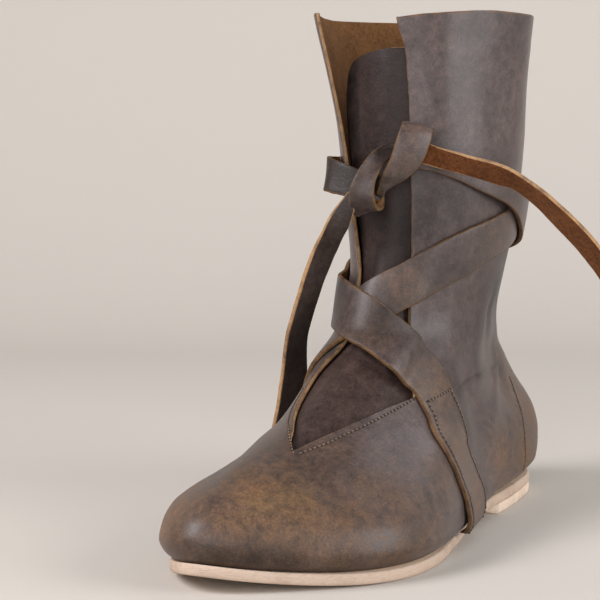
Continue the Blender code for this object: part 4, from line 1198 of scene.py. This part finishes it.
# Rings of one stitch. Columns: share of the half length, share of the radius, share of the bow
STITCH_RINGS = ((-1.0, 0.25, -0.5), (-0.8, 0.8, 0.1), (-0.35, 1.0, 0.8),
                (0.35, 1.0, 0.8), (0.8, 0.8, 0.1), (1.0, 0.25, -0.5))
STITCH_NEAR = 0.5
HOLE_RADIUS = 0.58
HOLE_SIDES = 8
HOLE_LIFT = 0.06
# Each pricked hole is a flat near-black disc: painted shade standing for the dark inside of the hole
HOLE_SHADE_COLOUR = (0.010, 0.007, 0.005, 1.0)
HOLE_ROUGHNESS = 0.9
BAND_INSET = 2.5
BAND_TOP = 53.0
BAND_TOP_MARKS = 20
SEAM_LIFT = 0.05
SEAM_STEP = 1.0
# Lines of the seams on the upper. Columns: turn, height
THROAT_OUTER_SEAM = np.array([(0.030, 39.6), (0.046, 42.0), (0.064, 45.0),
                              (0.095, 48.0), (0.137, 51.0), (0.160, 53.0)])
THROAT_INNER_SEAM = np.array([(0.026, 39.6), (0.010, 42.6), (-0.013, 45.8),
                              (-0.042, 48.8), (-0.062, 52.5), (-0.068, 57.0)])
COUNTER_SEAM = np.array([(0.372, 44.8), (0.357, 35.0), (0.351, 25.2), (0.351, 16.8), (0.355, 6.0)])
TO_INNER_SIDE = (-1.0, 1.0)

THREAD_FINISH = finish_of("thread", raw_look,
                          {"Tan": (0.185, 0.122, 0.074, 1.0), "Brown": (0.080, 0.050, 0.032, 1.0)},
                          height_mm=0.05)
DARK_THREAD_FINISH = finish_of("dark_thread", raw_look,
                               {"Tan": (0.150, 0.100, 0.068, 1.0), "Brown": (0.070, 0.046, 0.034, 1.0)},
                               height_mm=0.05)
HOLE_SHADE_FINISH = bpy.data.materials.new("pricked_hole_shade")
HOLE_SHADE_FINISH.use_nodes = True
hole_shader = HOLE_SHADE_FINISH.node_tree.nodes["Principled BSDF"]
hole_shader.inputs["Base Color"].default_value = HOLE_SHADE_COLOUR
hole_shader.inputs["Roughness"].default_value = HOLE_ROUGHNESS


def seam(name, line, normals, thread):
    # Row of short bowed stitches along a line, each with a near-black disc of painted shade for its hole
    gaps = np.linalg.norm(np.diff(line, axis=0), axis=1)
    travel = np.concatenate([[0.0], np.cumsum(gaps)])
    marks = np.arange(STITCH_PITCH / 2, travel[-1], STITCH_PITCH)
    middle = at_marks(line, travel, marks)
    along = at_marks(line, travel, marks + STITCH_NEAR) - at_marks(line, travel, marks - STITCH_NEAR)
    along /= np.linalg.norm(along, axis=1)[:, None]
    outward = at_marks(normals, travel, marks)
    sideways = np.cross(outward, along)
    sideways /= np.linalg.norm(sideways, axis=1)[:, None]
    outward = np.cross(along, sideways)
    points = []
    faces = []
    zones = []
    angles = np.linspace(0.0, 2 * math.pi, STITCH_SIDES, endpoint=False)
    for spot, ahead, across, out in zip(middle, along, sideways, outward):
        base = len(points)
        for reach, size, rise in STITCH_RINGS:
            centre = spot + ahead * reach * STITCH_LENGTH / 2 + out * rise * STITCH_BOW
            for angle in angles:
                spoke = across * math.cos(angle) + out * math.sin(angle)
                points.append(centre + STITCH_RADIUS * size * spoke)
        for ring in range(len(STITCH_RINGS) - 1):
            low = base + ring * STITCH_SIDES
            high = low + STITCH_SIDES
            for side in range(STITCH_SIDES):
                following = (side + 1) % STITCH_SIDES
                faces.append((low + side, low + following, high + following, high + side))
                zones.append(0)
        # Disc of painted shade for the pricked hole
        hole = len(points)
        hole_spot = spot + ahead * STITCH_PITCH / 2 + out * HOLE_LIFT
        for side in range(HOLE_SIDES):
            angle = 2 * math.pi * side / HOLE_SIDES
            points.append(hole_spot + HOLE_RADIUS * (ahead * math.cos(angle) + across * math.sin(angle)))
        faces.append(tuple(range(hole, hole + HOLE_SIDES)))
        zones.append(1)
    return piece(name, points, faces, zones, (thread, HOLE_SHADE_FINISH), None)


def face_seam(name, table, thread):
    # Seam on the upper's own face
    run = even_rows(table, lambda rows: surface(rows[:, 0], rows[:, 1]), SEAM_STEP)
    base = surface(run[:, 0], run[:, 1])
    line = surface(run[:, 0], run[:, 1], crease_lift(base) + SEAM_LIFT)
    seam(name, line, surface_normal(run[:, 0], run[:, 1]), thread)


def across_top(sewn, reach):
    # Places straight across a strap at the last sewn row
    turn, height = strap_walk(sewn, np.repeat(reach[None, :], len(sewn), 0))
    return turn[-1][:, None], height[-1][:, None]


def band_seams(name, run):
    # Box of stitches that holds a strap's lower part down
    sewn = run[run[:, 1] < BAND_TOP]
    half = sewn[:, 2] / 2.0 - BAND_INSET
    top = np.repeat(sewn[-1:], BAND_TOP_MARKS, 0)
    top_reach = np.linspace(-half[-1], half[-1], BAND_TOP_MARKS)
    rows_and_places = (
        ("front", sewn, strap_walk(sewn, -half[:, None])),
        ("rear", sewn, strap_walk(sewn, half[:, None])),
        ("top", top, across_top(sewn, top_reach)),
    )
    for label, rows, (turn, height) in rows_and_places:
        turn = turn[:, 0]
        height = height[:, 0]
        lift = rows[:, 3] + STRAP_THICKNESS * (1.0 + CROWN / 2.0) + SEAM_LIFT
        lift = lift + strap_lift(surface(turn, height))
        seam(name + "_" + label, surface(turn, height, lift), surface_normal(turn, height),
             DARK_THREAD_FINISH)


face_seam("throat_outer_seam", THROAT_OUTER_SEAM, THREAD_FINISH)
face_seam("throat_inner_seam", THROAT_INNER_SEAM, THREAD_FINISH)
face_seam("counter_outer_seam", COUNTER_SEAM, DARK_THREAD_FINISH)
face_seam("counter_inner_seam", COUNTER_SEAM * TO_INNER_SIDE, DARK_THREAD_FINISH)
band_seams("outer_band_seam", outer_run)
band_seams("inner_band_seam", inner_run)

# Knot: both straps tied once in front of the leg
# A short stub points inward, a band wraps over it and a fold stands up behind
RIBBON_STEP = 1.0
RIBBON_CELLS = 10
RIBBON_WAVES = ((0.10, 0.21, 0.0), (0.05, 0.5, 1.0))
RIBBON_WEAR = 0.4
KNOT_RUB = 0.15
# Runs of the three parts. Columns: x, y, z, then half of the width as a direction
KNOT_STUB = np.array([
    (124.0, 4.0, 141.0, -0.9, 0.7, 5.0),
    (129.1, 0.6, 141.9, -1.1, 0.8, 5.4),
    (132.0, -4.3, 143.0, -1.1, 0.8, 5.7),
    (132.3, -9.7, 144.6, -1.0, 0.6, 6.3),
    (130.4, -16.4, 146.1, -1.3, 1.0, 6.5),
    (125.0, -20.0, 146.5, -0.8, 0.2, 7.0),
    (116.5, -22.4, 145.6, -0.2, -0.5, 7.6),
    (108.0, -23.1, 144.9, 0.0, -0.9, 7.9),
])
KNOT_WRAP = np.array([
    (118.9, 8.2, 157.2, 0.1, -1.9, 2.4),
    (125.0, 5.5, 155.5, 0.8, -2.1, 2.2),
    (130.5, 4.3, 152.8, 1.0, -2.5, 2.1),
    (135.3, 2.6, 147.8, 1.5, -3.3, 1.5),
    (137.6, 1.1, 141.9, 1.8, -4.3, 0.6),
    (137.2, 0.6, 137.3, 1.2, -5.1, -0.1),
    (133.3, 0.5, 133.0, 0.3, -5.4, -1.0),
    (128.6, 0.5, 132.6, 0.1, -5.5, -1.7),
    (125.4, 0.1, 135.1, 0.1, -4.7, -1.7),
    (125.4, 0.4, 140.0, 0.1, -4.5, -1.5),
])
KNOT_FOLD = np.array([
    (123.6, 2.4, 137.4, 1.6, -0.8, -0.3),
    (127.9, 5.5, 140.2, 1.6, -0.8, -0.3),
    (128.4, 8.8, 144.0, 2.6, -2.6, 0.8),
    (128.6, 12.4, 147.5, 3.7, -3.9, 0.9),
    (128.1, 16.3, 153.4, 4.3, -5.0, 1.0),
    (126.1, 18.5, 161.3, 4.6, -5.3, 0.7),
    (123.5, 18.6, 165.0, 3.9, -5.1, 1.4),
    (120.2, 17.5, 166.0, 3.4, -5.3, 1.5),
    (118.1, 16.6, 164.4, 3.0, -5.2, 1.5),
])


def ribbon(table, cup):
    # Free strip through space: points, faces, zones, wear and its middle line
    run = even_rows(table, lambda rows: rows[:, :3], RIBBON_STEP)
    middle = run[:, :3]
    half = run[:, 3:]
    size = np.linalg.norm(half, axis=1)
    along = np.gradient(middle, axis=0)
    face = np.cross(along, half)
    face /= np.linalg.norm(face, axis=1)[:, None]
    profile = strip_profile(RIBBON_CELLS)
    travel = np.arange(len(run))[:, None] * RIBBON_STEP
    ragged = ragged_edge(travel, RIBBON_WAVES)
    side, inset, level, _ = profile.T[:, None, :]
    reach = side * (size[:, None] + ragged * np.sign(side) - inset)
    depth = STRAP_THICKNESS * (level - 0.5) + cup * (side ** 2 - 0.5)
    across = half / size[:, None]
    points = middle[:, None] + reach[..., None] * across[:, None] + depth[..., None] * face[:, None]
    faces, zones = strip_faces(len(run), profile)
    worn = RIBBON_WEAR * np.exp(-((size[:, None] - np.abs(reach)) / STRAP_WEAR_REACH) ** 2)
    return points.reshape(-1, 3), faces, zones, worn.ravel(), middle


# Columns: run, cup of the cross-section, painted shade (most on the stub, turned away from the light)
KNOT_PARTS = (
    (KNOT_STUB[::-1], 0.3, 0.75),
    (KNOT_WRAP[::-1], 0.8, 0.25),
    (KNOT_FOLD, -0.6, 0.0),
)
knot_points = []
knot_faces = []
knot_zones = []
knot_worn = []
knot_shade = []
knot_count = 0
for table, cup, stain_and_shade in KNOT_PARTS:
    points, faces, zones, worn, middle = ribbon(table, cup)
    knot_points.append(points)
    knot_faces.extend(tuple(spot + knot_count for spot in face) for face in faces)
    knot_zones.extend(zones)
    knot_worn.append(worn)
    knot_shade.append(np.full(len(worn), stain_and_shade))
    knot_count += len(points)
knot_worn = np.concatenate(knot_worn)
piece("knot_shown", np.vstack(knot_points), knot_faces, knot_zones, STRAP_FINISHES, "knot",
      {"edge": knot_worn, "rub": np.full(len(knot_worn), KNOT_RUB), "stain_and_shade": np.concatenate(knot_shade)})

# Free ends: what is left of both straps beyond the knot
# The outer one stands off to the side with its suede face up, the inner one hangs beside the vamp
END_RUB = 0.1
# Run of each end. Columns: x, y, z, then half of the width as a direction
END_OUTER = np.array([
    (119.9, 19.1, 155.4, -0.4, 1.6, 4.1),
    (118.8, 22.4, 154.4, 0.3, 1.6, 3.9),
    (116.8, 28.2, 152.7, 1.4, 0.9, 4.0),
    (113.8, 37.4, 150.4, 2.6, 1.0, 3.9),
    (109.9, 48.2, 147.1, 3.4, 1.6, 4.0),
    (107.3, 55.1, 144.1, 3.6, 2.1, 3.1),
    (104.0, 63.9, 137.4, 4.0, 2.7, 3.2),
    (101.6, 72.8, 128.6, 3.7, 3.2, 3.4),
    (98.9, 80.1, 120.7, 3.7, 3.3, 3.5),
    (95.2, 87.8, 110.1, 3.5, 3.5, 3.4),
    (91.3, 94.2, 97.2, 3.4, 4.1, 2.9),
    (89.0, 98.7, 82.9, 2.9, 4.2, 2.1),
    (88.0, 101.1, 67.0, 2.4, 4.4, 1.4),
])
END_INNER = np.array([
    (136.4, -4.2, 136.4, 0.3, -1.2, 3.7),
    (136.2, -8.5, 129.6, 2.0, -2.1, 3.8),
    (135.9, -12.5, 123.3, 3.6, -1.9, 3.2),
    (131.8, -19.9, 112.2, 5.2, -1.9, 1.8),
    (130.2, -26.5, 97.0, 5.6, -1.6, 1.2),
    (127.7, -32.8, 80.0, 5.8, -1.7, 0.8),
    (123.1, -36.6, 64.0, 6.4, -2.4, 0.6),
    (122.5, -38.4, 47.0, 7.4, -3.0, 0.5),
    (122.5, -43.0, 31.0, 7.4, -2.6, 0.5),
    (123.5, -45.5, 18.0, 7.2, -2.4, 0.5),
])
END_FLESH_FINISH = finish_of("end_flesh", suede_look,
                             {"Dark": (0.060, 0.018, 0.005, 1.0), "Light": (0.175, 0.062, 0.021, 1.0)},
                             height_mm=0.9,
                             settings={"Specular IOR Level": 0.1, "Sheen Weight": 0.05,
                                       "Sheen Roughness": 0.5, "Sheen Tint": (1.0, 0.75, 0.5, 1.0)})


def free_end(name, table, finishes, node_name, cup, stain_and_shade):
    # Loose strap end, a flat strip along its own table
    points, faces, zones, worn, middle = ribbon(table, cup)
    thing = piece(name, points, faces, zones, finishes, node_name,
                  {"edge": worn, "rub": np.full(len(worn), END_RUB), "stain_and_shade": np.full(len(worn), stain_and_shade)})


free_end("strap_end_outer_shown", END_OUTER, (END_FLESH_FINISH, STRAP_FINISH, RAW_FINISH),
         "strap_end_outer", cup=0.3, stain_and_shade=0.0)
# The inner end gets painted shade at half strength, as it hangs on the shaded inner side
free_end("strap_end_inner_shown", END_INNER, (FLESH_FINISH, STRAP_FINISH, RAW_FINISH),
         "strap_end_inner", cup=0.3, stain_and_shade=0.5)
